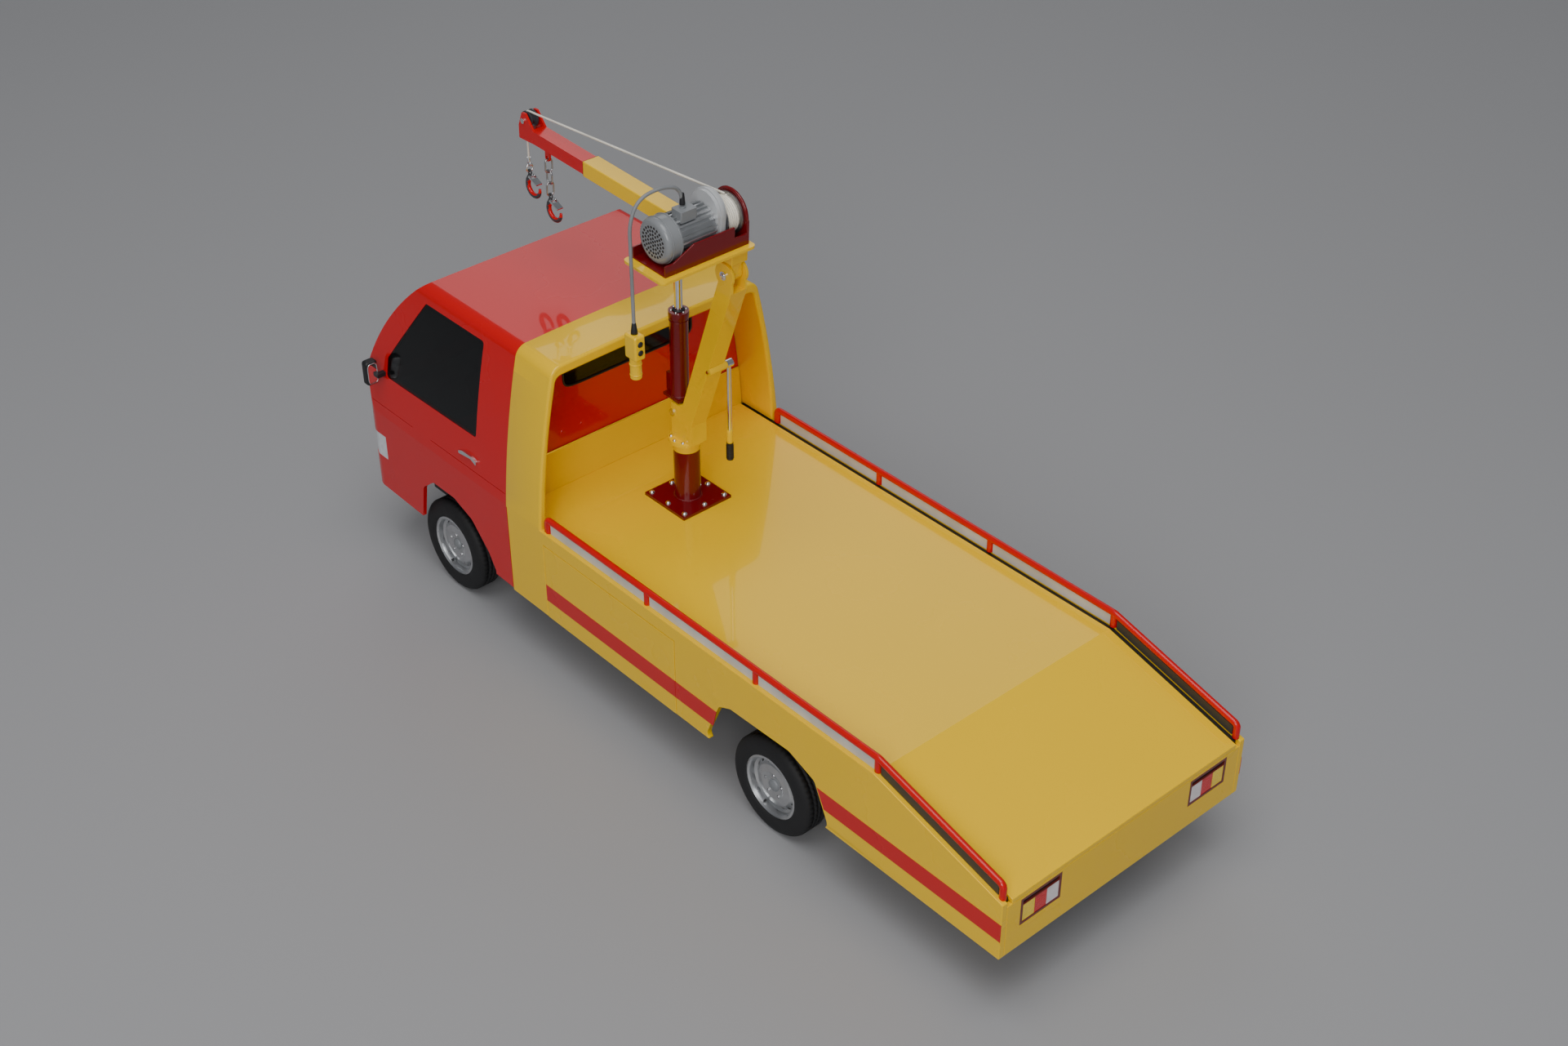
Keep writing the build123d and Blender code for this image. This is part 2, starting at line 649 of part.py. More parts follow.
def lever_arm():
    """Pump lever: a shaft through the mast, a hub disc and the hanging rod."""
    hub_x, hub_z = LEVER_HUB
    face = -MAST_HALF_WIDTH - 1.0
    arm = rod_y(hub_x, hub_z, 0.55, face, MAST_HALF_WIDTH + 0.3)
    arm += rod_y(hub_x, hub_z, 1.3, face - 2.3, face)
    arm += rod_z(hub_x, LEVER_Y, 0.75, LEVER_GRIP_Z[1], hub_z)
    return at_crane(arm)


def lever_grip():
    return at_crane(rod_z(LEVER_HUB[0], LEVER_Y, 1.1, *LEVER_GRIP_Z))


# ================= crane: boom =================
def on_boom(shape):
    """From the level boom frame to the pitched boom at its hinge."""
    return Pos(*PIVOT) * Rot(0, -BOOM_PITCH, 0) * shape


def boom_point(u, w):
    """World x and z of a point given in the boom frame."""
    pitch = math.radians(BOOM_PITCH)
    x = PIVOT[0] + u * math.cos(pitch) - w * math.sin(pitch)
    z = PIVOT[2] + u * math.sin(pitch) + w * math.cos(pitch)
    return x, z


def boom_outer():
    top = BOOM_BOTTOM + BOOM_HEIGHT
    w = BOOM_HALF_WIDTH
    tube = block(BOOM_REAR, BOOM_FRONT, -w, w, BOOM_BOTTOM, top)
    wall = BOOM_WALL
    tube -= block(BOOM_REAR + 0.6, BOOM_FRONT + 1, wall - w, w - wall, BOOM_BOTTOM + wall, top - wall)
    hinge = rod_y(0, 0, 2.4, -2.05, 2.05) + block(-2.2, 2.4, -2.05, 2.05, 0, BOOM_BOTTOM)
    hinge -= rod_y(0, 0, PIVOT_PIN_RADIUS + 0.05, -5, 5)
    head_u, head_w = JACK_HEAD_IN_BOOM
    cheeks = both_sides(block(head_u - 3.4, head_u + 3.4, 1.75, 2.4, head_w - 1.2, BOOM_BOTTOM))
    return on_boom(tube + hinge + cheeks[0] + cheeks[1])


def plate_top():
    return BOOM_BOTTOM + BOOM_HEIGHT + PLATE_THICKNESS


def winch_plate():
    plate = block(*PLATE_U, *PLATE_Y, BOOM_BOTTOM + BOOM_HEIGHT, plate_top())
    plate = fillet(plate.edges().filter_by(Axis.Z), 1.6)
    return on_boom(plate)


def tray_side(u0, u1, low, high):
    """One long wall of the tray, low at the motor's fan and high at the drum."""
    z0 = plate_top()
    y_end, y_far = TRAY_Y
    outline = polygon([
        (y_end, z0), (y_far, z0), (y_far, z0 + low), (y_far - 3.0, z0 + low), (y_far - 10.5, z0 + high),
        (y_end + 5.4, z0 + high), (y_end + 5.4, z0 + low), (y_end, z0 + low),
    ])
    return front_slab(outline, u0, u1)


def winch_tray():
    """Channel that carries the motor, with an arched end plate beyond the drum."""
    z0 = plate_top()
    u0, u1 = TRAY_U
    y0, y1 = TRAY_Y
    axis_u, axis_w = WINCH_AXIS
    tray = block(u0, u1, y0, y1, z0, z0 + TRAY_FLOOR)
    tray += tray_side(u0, u0 + TRAY_WALL, 3.6, 7.2) + tray_side(u1 - TRAY_WALL, u1, 3.6, 7.2)
    arch = polygon([(u0, z0), (u1, z0), (u1, axis_w), (u0, axis_w)]) + Pos(axis_u, axis_w) * Circle(7.2)
    tray += slab(arch, y0, y0 + 0.9)
    tray -= rod_y(axis_u, axis_w, SHAFT_BORE_RADIUS, y0 - 2, y0 + 2)
    return on_boom(tray)


def motor_barrel():
    """Finned round housing of the motor."""
    u, w = WINCH_AXIS
    y0, y1 = MOTOR_Y
    body = rod_y(u, w, MOTOR_RADIUS, y0, y1)
    for i in range(FIN_COUNT):
        fin = block(-0.28, 0.28, y0 + 0.4, y1 - 0.2, MOTOR_RADIUS - 0.5, FIN_RADIUS)
        body += Pos(u, 0, w) * Rot(0, 360 * i / FIN_COUNT, 0) * fin
    return body


def motor_body():
    u, w = WINCH_AXIS
    body = motor_barrel()
    for y in (10.0, 19.0):
        body += block(u - 4.2, u + 4.2, y, y + 2.0, plate_top() + TRAY_FLOOR, w - 3.5)
    return on_boom(body)


def fan_cover():
    u, w = WINCH_AXIS
    depth = 5.4
    outline = polygon([(0, 0), (COVER_RADIUS, 0), (COVER_RADIUS, -depth), (0, -depth)])
    cover = Pos(u, 21.2, w) * mirror(revolve(outline, Axis.Y), Plane.XZ)
    cover = fillet(cover.edges().group_by(Axis.Y)[-1], 1.5)
    cover -= rod_y(u, w, FIN_RADIUS + 0.1, 20.0, MOTOR_Y[1])
    return on_boom(cover)


def terminal_box():
    """Switch box on top of the motor, with the cable's gland."""
    u, w = WINCH_AXIS
    box = block(u - 3.9, u + 0.6, 13.8, 19.6, w + 4.9, w + BOX_TOP)
    box = fillet(box.edges().filter_by(Axis.Z), 0.4)
    gland = rod_z(u + GLAND_PLACE[0], GLAND_PLACE[1], 0.95, w + BOX_TOP, w + GLAND_TOP)
    return on_boom((box + gland) - motor_barrel())


def gear_cover():
    """Light cover plates of the gearbox between motor and drum."""
    u, w = WINCH_AXIS
    low = plate_top() + TRAY_FLOOR
    outline = make_face([
        ThreePointArc((u + 6.6, w + 3.6), (u, w + 10.2), (u - 6.6, w + 3.6)),
        Line((u - 6.6, w + 3.6), (u - 6.0, low)),
        Line((u - 6.0, low), (u + 6.0, low)),
        Line((u + 6.0, low), (u + 6.6, w + 3.6)),
    ])
    step = offset(outline, -0.5)
    cover = slab(step, 4.9, 5.8) + slab(outline, 5.8, 7.0) + slab(step, 7.0, MOTOR_Y[0])
    return on_boom(cover - rod_y(u, w, SHAFT_BORE_RADIUS, 4.0, 6.6))


def winch_drum():
    """Drum core, flanges and shaft."""
    u, w = WINCH_AXIS
    drum = rod_y(u, w, DRUM_RADIUS, -1.3, 4.6)
    drum += rod_y(u, w, FLANGE_RADIUS, -1.5, -0.9) + rod_y(u, w, FLANGE_RADIUS, 4.1, 4.6)
    drum += rod_y(u, w, SHAFT_RADIUS, -2.4, 6.4)
    return on_boom(drum)


def rope_winding():
    """Outer form of the rope wound on the drum."""
    u, w = WINCH_AXIS
    return on_boom(rod_y(u, w, WINDING_RADIUS, -0.9, 4.1) - rod_y(u, w, DRUM_RADIUS, -2, 6))


def boom_inner():
    """Sliding red tube with two head plates for the rope wheel and an eye for the chain."""
    w = INNER_HALF_WIDTH
    mid = BOOM_BOTTOM + BOOM_HEIGHT / 2
    low, high = mid - INNER_HEIGHT / 2, mid + INNER_HEIGHT / 2
    tube = block(INNER_REAR, 93.6, -w, w, low, high)
    tube -= block(INNER_REAR - 1, 92.8, 0.5 - w, w - 0.5, low + 0.5, high - 0.5)
    nose = [(100.0, 4.2), (100.0, 8.6), (98.2, 13.5), (96.4, 13.7)]
    plate = polygon([(92.0, low)] + nose + [(92.4, high)], 0.3)
    plates = both_sides(slab(plate, w - 0.75, w))
    head = tube + plates[0] + plates[1]
    eye_x, eye_z = chain_eye()
    head += slab(Pos(eye_x, eye_z) * Circle(1.15), -0.35, 0.35)
    head += block(eye_x - 1.15, eye_x + 1.15, -0.35, 0.35, eye_z, low)
    head -= rod_y(eye_x, eye_z, 0.65, -3, 3)
    head -= rod_y(*SHEAVE, SHEAVE_PIN_RADIUS, -5, 5)
    return on_boom(head)


def chain_eye():
    """The chain eye's centre in the boom frame, so that its hole hangs at the chain's top."""
    pitch = math.radians(BOOM_PITCH)
    dx = CHAIN_X - PIVOT[0]
    dz = CHAIN_TOP_Z + 0.29 - PIVOT[2]
    return dx * math.cos(pitch) + dz * math.sin(pitch), dz * math.cos(pitch) - dx * math.sin(pitch)


def sheave():
    groove = ROPE_RADIUS + 0.05
    outline = polygon([
        (SHEAVE_PIN_RADIUS + 0.08, -1.35), (SHEAVE_RADIUS, -1.35), (SHEAVE_RADIUS, -0.95),
        (SHEAVE_GROOVE_RADIUS, -groove), (SHEAVE_GROOVE_RADIUS, groove),
        (SHEAVE_RADIUS, 0.95), (SHEAVE_RADIUS, 1.35), (SHEAVE_PIN_RADIUS + 0.08, 1.35),
    ])
    return on_boom(Pos(SHEAVE[0], 0, SHEAVE[1]) * revolve(outline, Axis.Y))


def sheave_pin():
    return on_boom(headed_pin(*SHEAVE, SHEAVE_PIN_RADIUS, INNER_HALF_WIDTH))


# ================= crane: jack =================
def jack_lean():
    head_x, head_z = boom_point(*JACK_HEAD_IN_BOOM)
    return math.degrees(math.atan2(head_x - JACK_FOOT[0], head_z - JACK_FOOT[1]))


def jack_length():
    head_x, head_z = boom_point(*JACK_HEAD_IN_BOOM)
    return math.hypot(head_x - JACK_FOOT[0], head_z - JACK_FOOT[1])


def on_jack(shape):
    """From the upright jack frame, foot pin at the origin, to its place."""
    return Pos(JACK_FOOT[0], CRANE_Y, JACK_FOOT[1]) * Rot(0, jack_lean(), 0) * shape


def jack_cylinder():
    """Barrel with its foot lug, base flange, top ring and pump block."""
    body = rod_y(0, 0, 1.8, -1.45, 1.45) + block(-1.6, 1.6, -1.45, 1.45, 0, 4.4)
    body += block(-2.9, 4.6, -3.0, 3.0, 4.4, 5.4)
    body += rod_z(0, 0, BARREL_RADIUS, 5.4, 35.4) + rod_z(0, 0, 3.25, 33.6, 35.8)
    body += block(2.0, 5.0, -1.3, 1.3, 5.4, 12.0)
    body -= rod_z(0, 0, ROD_BORE_RADIUS, 6.4, 40)
    body -= rod_y(0, 0, JACK_PIN_RADIUS + 0.05, -5, 5)
    return on_jack(body)


def jack_rod():
    rod = rod_z(0, 0, ROD_RADIUS, 9.8, jack_length() - 0.6)
    rod += rod_y(0, jack_length(), 1.2, -1.4, 1.4)
    return on_jack(rod)


# ================= rope, chain, hooks, hand control =================
def rope_bend_radius():
    """Radius of the rope's middle line on the rope wheel."""
    return SHEAVE_GROOVE_RADIUS + ROPE_RADIUS + ROPE_GAP


def rope_run_ends():
    """Tangent points of the straight rope on drum and rope wheel, in the boom frame."""
    big = WINDING_RADIUS + ROPE_RADIUS + ROPE_GAP
    small = rope_bend_radius()
    du, dw = SHEAVE[0] - WINCH_AXIS[0], SHEAVE[1] - WINCH_AXIS[1]
    tilt = math.atan2(dw, du) + math.asin((small - big) / math.hypot(du, dw))
    nu, nw = -math.sin(tilt), math.cos(tilt)
    start = (WINCH_AXIS[0] + big * nu, WINCH_AXIS[1] + big * nw)
    return start + (SHEAVE[0] + small * nu, SHEAVE[1] + small * nw)


def rope_run():
    """Straight rope from the top of the drum to the top of the rope wheel."""
    start_u, start_w, end_u, end_w = rope_run_ends()
    length = math.hypot(end_u - start_u, end_w - start_w)
    angle = math.degrees(math.atan2(start_w - end_w, end_u - start_u))
    print("rope run: length", round(length, 1))
    return on_boom(Pos(start_u, 0, start_w) * Rot(0, angle, 0) * rod_x(0, 0, ROPE_RADIUS, 0, length))


def rope_fall_x():
    return boom_point(*SHEAVE)[0] + rope_bend_radius()


def rope_fall():
    """Hanging rope from the front of the wheel to the thimble."""
    low, high = ROPE_RING_Z + 2.4, boom_point(*SHEAVE)[1]
    print("rope fall: length", round(high - low, 1))
    return at_crane(rod_z(rope_fall_x(), 0, ROPE_RADIUS, low, high))


def rope_thimble():
    """Ferrule and eye at the rope's end."""
    x = rope_fall_x()
    eye_z = ROPE_RING_Z + 0.18
    part = rod_z(x, 0, 0.6, eye_z + 0.75, ROPE_RING_Z + 2.4)
    part += Pos(x, 0, eye_z) * Rot(90, 0, 0) * Torus(0.75, 0.25)
    return at_crane(part)


def bowl_centre(x, z):
    """Middle of a hook's bowl, for a hook hung on a wire at x, z."""
    return x - 1.8, z - WIRE - 4.5


def latch_pivot(x, z):
    bowl_x, bowl_z = bowl_centre(x, z)
    return bowl_x + 0.9, bowl_z + 3.35


def hook(x, z):
    """Lifting hook, its eye hung on a wire centred at x, z and its mouth to the rear."""
    hole_z = z - WIRE
    bx, bz = bowl_centre(x, z)
    outer = Pos(bx, bz) * Circle(4.2)
    inner = Pos(bx - 0.35, bz + 0.35) * Circle(2.25)
    mouth = polygon([(bx, bz), (bx + 0.5, bz + 8), (bx - 8, bz + 8), (bx - 8, bz + 2.2)])
    shoulders = [(x - 0.8, hole_z - 0.4), (x + 0.8, hole_z - 0.4)]
    shank = polygon(shoulders + [(bx + 3.0, bz + 1.6), (bx + 1.1, bz + 2.6)])
    body = slab((outer - inner - mouth) + (shank - inner), -0.8, 0.8)
    body += slab(Pos(x, hole_z) * Circle(1.1), -0.35, 0.35)
    body -= rod_y(x, hole_z, 0.62, -3, 3)
    return at_crane(body - rod_y(*latch_pivot(x, z), LATCH_PIN_RADIUS + 0.06, -3, 3))


def rope_hook(x, z):
    """Hook and the steel ring that it hangs on."""
    ring = Pos(x, 0, z + 1.25) * Rot(0, 90, 0) * Torus(1.25, WIRE)
    return group([hook(x, z), at_crane(ring)])


def latch(x, z):
    """Sprung bar that closes the hook's mouth: two cheeks on a pin, joined by the bar."""
    x0, z0 = latch_pivot(x, z)
    bar = block(1.3, LATCH_LENGTH, -1.15, 1.15, -0.25, 0.25)
    for cheek in both_sides(block(-0.4, 1.4, 0.85, 1.15, -0.4, 0.4)):
        bar += cheek
    bar += rod_y(0, 0, LATCH_PIN_RADIUS, -1.15, 1.15)
    return at_crane(Pos(x0, 0, z0) * Rot(0, 180 - LATCH_SLOPE, 0) * bar)


def chain_link(index):
    """Oval link hung below the one before, turned a quarter each time."""
    top = CHAIN_TOP_Z - index * LINK_STEP
    straight = LINK_LENGTH - 2 * LINK_HALF_WIDTH
    middle = top - LINK_LENGTH / 2
    oval = Plane.XZ * SlotCenterToCenter(straight, 2 * LINK_HALF_WIDTH, rotation=90)
    path = oval.face().outer_wire()
    section = Plane(path @ 0, z_dir=path % 0) * Circle(WIRE)
    link = sweep(section, path=path)
    turn = 90 if index % 2 == 0 else 0
    return at_crane(Pos(CHAIN_X, 0, middle) * Rot(0, 0, turn) * link)


def chain_hook_z():
    return CHAIN_TOP_Z - 2 * LINK_STEP - LINK_LENGTH


def cable_route():
    """Hand-control cable: up out of the gland, over to the left, then hanging straight down."""
    x, z = boom_point(WINCH_AXIS[0] + GLAND_PLACE[0], WINCH_AXIS[1] + GLAND_TOP)
    y = CRANE_Y + GLAND_PLACE[1]
    steps = [
        (0, 0, 0.12), (0, 0, 5.6), (0.5, 7.0, 7.8), (1.4, 14.5, 6.2), (1.9, 17.4, -0.5), (1.9, 17.4, -35.3),
    ]
    return [(x + dx, y + dy, z + dz) for dx, dy, dz in steps]


def pendant_cable():
    """Tube of the hanging control cable, straight runs joined by round corners."""
    route = cable_route()
    lengths = [math.dist(a, b) for a, b in zip(route[:-1], route[1:])]
    radii = []
    for i in range(1, len(route) - 1):
        before = Vector(*route[i]) - Vector(*route[i - 1])
        after = Vector(*route[i + 1]) - Vector(*route[i])
        half_turn = math.radians(before.get_angle(after)) / 2
        radii.append(0.45 * min(lengths[i - 1], lengths[i]) / math.tan(half_turn))
    path = FilletPolyline(*route, radius=radii)
    tube = sweep(Plane(path @ 0, z_dir=path % 0) * Circle(CABLE_RADIUS), path=path)
    print("pendant cable: length", round(path.length, 1), "corner radii", [round(r, 1) for r in radii])
    print("pendant cable: volume over section times length",
          round(tube.volume / (math.pi * CABLE_RADIUS ** 2 * path.length), 4))
    return tube


def pendant_case():
    """Hand control: a square block with a round grip below."""
    x, y, top = cable_route()[-1]
    case = block(x - 2.6, x + 2.6, y - 1.9, y + 1.9, top - 8.0, top)
    case = fillet(case.edges(), 0.7)
    grip = rod_z(x, y, 1.75, top - 14.8, top - 7.5)
    return case + fillet(grip.edges().group_by(Axis.Z)[0], 0.5)


def build():
    rope_hook_at = (rope_fall_x(), ROPE_RING_Z - 2.5)
    chain_hook_at = (CHAIN_X, chain_hook_z())
    nodes = {
        "chassis": chassis(),
        "underside_fasteners": underside_fasteners(),
        "bed_frame": bed_frame(),
        "deck_plate": deck_plate(),
        "side_skirts": side_skirts(),
        "locker_panels": locker_panels(),
        "edge_channels": edge_channels(),
        "side_rails": side_rails(),
        "rail_strips": rail_strips(),
        "tail_panel": tail_panel(),
        "tail_lamp_bezels": lamp_bezels(),
        "tail_lenses": tail_lenses(),
        "bulkhead_panel": bulkhead_panel(),
        "cab_guard": cab_guard(),
        "cab_shell": cab_shell(),
        "cab_interior": cab_interior(),
        "cab_glazing": cab_glazing(),
        "headlamps": headlamps(),
        "grille": grille(),
        "front_bumper": front_bumper(),
        "door_handles": door_handles(),
        "mirrors": mirrors(),
        "crane_base": crane_base(),
        "base_bolts": base_bolts(),
        "mast": mast(),
        "mast_fasteners": mast_fasteners(),
        "lever_arm": lever_arm(),
        "lever_grip": lever_grip(),
        "boom_outer": boom_outer(),
        "winch_plate": winch_plate(),
        "winch_tray": winch_tray(),
        "motor_body": motor_body(),
        "fan_cover": fan_cover(),
        "terminal_box": terminal_box(),
        "gear_cover": gear_cover(),
        "winch_drum": winch_drum(),
        "rope_winding": rope_winding(),
        "boom_inner": boom_inner(),
        "sheave": sheave(),
        "sheave_pin": sheave_pin(),
        "jack_cylinder": jack_cylinder(),
        "jack_rod": jack_rod(),
        "rope_run": rope_run(),
        "rope_fall": rope_fall(),
        "rope_thimble": rope_thimble(),
        "rope_hook": rope_hook(*rope_hook_at),
        "rope_hook_latch": latch(*rope_hook_at),
        "chain_hook": hook(*chain_hook_at),
        "chain_hook_latch": latch(*chain_hook_at),
        "pendant_cable": pendant_cable(),
        "pendant_case": pendant_case(),
    }
    for i in range(3):
        nodes["chain_link_%d" % (i + 1)] = chain_link(i)
    for end, x in AXLE_X.items():
        nodes[end + "_axle"] = axle(x)
        nodes[end + "_rims"] = rims(x)
        nodes[end + "_tyres"] = tyres(x)
    return nodes


os.makedirs("parts", exist_ok=True)
for node, shape in build().items():
    export_step(CENTRE * shape, "parts/" + node + ".step")
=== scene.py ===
import json
import math

import bpy
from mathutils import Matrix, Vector
from mathutils.bvhtree import BVHTree


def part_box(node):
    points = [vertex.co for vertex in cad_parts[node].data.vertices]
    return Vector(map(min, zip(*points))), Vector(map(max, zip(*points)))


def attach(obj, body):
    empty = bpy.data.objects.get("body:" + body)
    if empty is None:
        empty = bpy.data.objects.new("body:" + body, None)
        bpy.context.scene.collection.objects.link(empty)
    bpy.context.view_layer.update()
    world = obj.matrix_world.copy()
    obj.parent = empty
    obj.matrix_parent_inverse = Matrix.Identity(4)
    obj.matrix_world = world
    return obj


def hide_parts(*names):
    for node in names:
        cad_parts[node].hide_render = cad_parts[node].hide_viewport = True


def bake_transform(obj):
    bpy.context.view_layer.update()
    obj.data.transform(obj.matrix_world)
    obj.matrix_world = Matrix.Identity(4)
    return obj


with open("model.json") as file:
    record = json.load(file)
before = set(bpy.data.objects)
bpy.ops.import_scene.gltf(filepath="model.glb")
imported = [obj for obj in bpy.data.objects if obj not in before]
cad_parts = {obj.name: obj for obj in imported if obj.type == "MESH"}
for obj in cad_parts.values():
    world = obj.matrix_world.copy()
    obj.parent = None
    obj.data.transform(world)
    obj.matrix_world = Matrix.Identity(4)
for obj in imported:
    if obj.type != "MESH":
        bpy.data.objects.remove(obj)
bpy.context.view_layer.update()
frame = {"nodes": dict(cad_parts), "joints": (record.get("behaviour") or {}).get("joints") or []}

MM = 0.001
SLOPE_START = -102.7 * MM
JOINTS = {joint["name"]: joint for joint in frame["joints"]}
X, Y, Z = Vector((1, 0, 0)), Vector((0, 1, 0)), Vector((0, 0, 1))


# ================= places read from the frame =================
def centre(node):
    low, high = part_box(node)
    return (low + high) / 2


def joint_place(name):
    return Vector(JOINTS[name]["pos_m"])


def joint_axis(name):
    return Vector(JOINTS[name]["axis"]).normalized()


# ================= materials =================
def new_material(name, colour, roughness=0.4, metallic=0.0, coat=0.0, specular=0.5):
    """A principled material with its uniform values on its own sockets."""
    material = bpy.data.materials.new(name)
    material.use_nodes = True
    shader = material.node_tree.nodes["Principled BSDF"]
    shader.inputs["Base Color"].default_value = (*colour, 1)
    shader.inputs["Roughness"].default_value = roughness
    shader.inputs["Metallic"].default_value = metallic
    shader.inputs["Coat Weight"].default_value = coat
    shader.inputs["Coat Roughness"].default_value = 0.04
    shader.inputs["Specular IOR Level"].default_value = specular
    return material


def noise_node(material, scale, detail, stretch=(1, 1, 1)):
    nodes, links = material.node_tree.nodes, material.node_tree.links
    place = nodes.new("ShaderNodeTexCoord")
    mapping = nodes.new("ShaderNodeMapping")
    mapping.inputs["Scale"].default_value = stretch
    noise = nodes.new("ShaderNodeTexNoise")
    noise.inputs["Scale"].default_value = scale
    noise.inputs["Detail"].default_value = detail
    links.new(place.outputs["Object"], mapping.inputs["Vector"])
    links.new(mapping.outputs["Vector"], noise.inputs["Vector"])
    return noise


def vary_colour(material, colour, amount, scale, stretch=(1, 1, 1)):
    """Slow drift of the colour between a darker and a lighter shade of it."""
    nodes, links = material.node_tree.nodes, material.node_tree.links
    noise = noise_node(material, scale, 3.0, stretch)
    ramp = nodes.new("ShaderNodeValToRGB")
    ramp.color_ramp.elements[0].position = 0.3
    ramp.color_ramp.elements[1].position = 0.7
    ramp.color_ramp.elements[0].color = (*[c * (1 - amount) for c in colour], 1)
    ramp.color_ramp.elements[1].color = (*[min(1.0, c * (1 + amount)) for c in colour], 1)
    links.new(noise.outputs["Fac"], ramp.inputs["Fac"])
    links.new(ramp.outputs["Color"], nodes["Principled BSDF"].inputs["Base Color"])


def vary_roughness(material, low, high, scale, stretch=(1, 1, 1)):
    nodes, links = material.node_tree.nodes, material.node_tree.links
    noise = noise_node(material, scale, 4.0, stretch)
    spread = nodes.new("ShaderNodeMapRange")
    spread.inputs["To Min"].default_value = low
    spread.inputs["To Max"].default_value = high
    links.new(noise.outputs["Fac"], spread.inputs["Value"])
    links.new(spread.outputs["Result"], nodes["Principled BSDF"].inputs["Roughness"])


def add_bump(material, scale, strength, height, stretch=(1, 1, 1)):
    nodes, links = material.node_tree.nodes, material.node_tree.links
    noise = noise_node(material, scale, 4.0, stretch)
    bump = nodes.new("ShaderNodeBump")
    bump.inputs["Strength"].default_value = strength
    bump.inputs["Distance"].default_value = height
    links.new(noise.outputs["Fac"], bump.inputs["Height"])
    links.new(bump.outputs["Normal"], nodes["Principled BSDF"].inputs["Normal"])


def enamel(name, colour):
    """Sprayed gloss paint under a clear coat, with a faint orange peel."""
    material = new_material(name, colour, 0.3, coat=0.55, specular=0.2)
    vary_colour(material, colour, 0.015, 12)
    vary_roughness(material, 0.24, 0.30, 25)
    add_bump(material, 900, 0.012, 0.1 * MM)
    return material


def moulded(name, colour, roughness=0.5):
    """Moulded plastic or rubber with a fine grain."""
    material = new_material(name, colour, roughness)
    vary_colour(material, colour, 0.12, 90)
    vary_roughness(material, roughness - 0.08, roughness + 0.08, 160)
    add_bump(material, 1600, 0.12, 0.1 * MM)
    return material


def strip_plastic(name, colour, slope_colour):
    """Light plastic strip whose stretch on the sloping tail is dark."""
    material = moulded(name, colour)
    nodes, links = material.node_tree.nodes, material.node_tree.links
    place = nodes.new("ShaderNodeTexCoord")
    split = nodes.new("ShaderNodeSeparateXYZ")
    behind = nodes.new("ShaderNodeMath")
    behind.operation = "LESS_THAN"
    behind.inputs[1].default_value = SLOPE_START
    mix = nodes.new("ShaderNodeMix")
    mix.data_type = "RGBA"
    mix.inputs["B"].default_value = (*slope_colour, 1)
    light = nodes["Principled BSDF"].inputs["Base Color"].links[0].from_socket
    links.new(place.outputs["Object"], split.inputs["Vector"])
    links.new(split.outputs["X"], behind.inputs[0])
    links.new(behind.outputs["Value"], mix.inputs["Factor"])
    links.new(light, mix.inputs["A"])
    links.new(mix.outputs["Result"], nodes["Principled BSDF"].inputs["Base Color"])
    return material


def metal(name, colour, roughness, stretch=(1, 1, 1)):
    """Bare metal with a brushed or cast finish."""
    material = new_material(name, colour, roughness, metallic=1.0)
    vary_colour(material, colour, 0.08, 200, stretch)
    vary_roughness(material, roughness * 0.7, roughness * 1.35, 500, stretch)
    add_bump(material, 900, 0.06, 0.1 * MM, stretch)
    return material


def tinted_glass(name, colour, alpha):
    material = new_material(name, colour, 0.05, specular=0.4)
    vary_roughness(material, 0.03, 0.09, 40)
    material.node_tree.nodes["Principled BSDF"].inputs["Alpha"].default_value = alpha
    return material


def lens(name, colour):
    material = new_material(name, colour, 0.12, coat=1.0)
    vary_colour(material, colour, 0.1, 600)
    add_bump(material, 1500, 0.08, 0.1 * MM)
    return material


YELLOW = enamel("yellow_enamel", (0.95, 0.58, 0.0))
RED = enamel("red_enamel", (0.62, 0.0, 0.003))
DARK_RED = enamel("dark_red_enamel", (0.16, 0.003, 0.006))
BLACK = moulded("black_plastic", (0.012, 0.012, 0.014))
INTERIOR = moulded("interior_plastic", (0.035, 0.036, 0.040), 0.6)
GREY = moulded("grey_plastic", (0.50, 0.51, 0.52))
STRIP = strip_plastic("rail_strip_plastic", (0.60, 0.59, 0.57), (0.05, 0.045, 0.04))
BOX_GREY = moulded("box_grey", (0.20, 0.21, 0.22), 0.42)
CABLE = moulded("cable_rubber", (0.22, 0.23, 0.24), 0.45)
TYRE = moulded("tyre_rubber", (0.010, 0.010, 0.011), 0.72)
ALUMINIUM = metal("motor_aluminium", (0.62, 0.63, 0.64), 0.34)
WHEEL_STEEL = metal("wheel_steel", (0.60, 0.61, 0.62), 0.3)
CHROME = metal("bright_steel", (0.78, 0.79, 0.80), 0.10)
ZINC = metal("zinc_steel", (0.46, 0.46, 0.47), 0.3)
FAN_GREY = enamel("fan_cover_grey", (0.24, 0.25, 0.26))
GEAR_GREY = enamel("gear_cover_grey", (0.48, 0.49, 0.50))
HOOK_GREY = enamel("hook_grey", (0.045, 0.047, 0.052))
GLASS = tinted_glass("smoked_glass", (0.003, 0.0035, 0.004), 0.8)
CLEAR = lens("headlamp_lens", (0.70, 0.73, 0.76))
AMBER = lens("amber_lens", (0.90, 0.62, 0.02))
RED_LENS = lens("red_lens", (0.60, 0.01, 0.015))
WHITE_LENS = lens("white_lens", (0.72, 0.66, 0.68))
BEZEL = enamel("lamp_bezel", (0.16, 0.022, 0.018))
ROPE = moulded("rope_fibre", (0.80, 0.76, 0.66), 0.75)
MIRROR_GLASS = metal("mirror_glass", (0.85, 0.87, 0.9), 0.04)

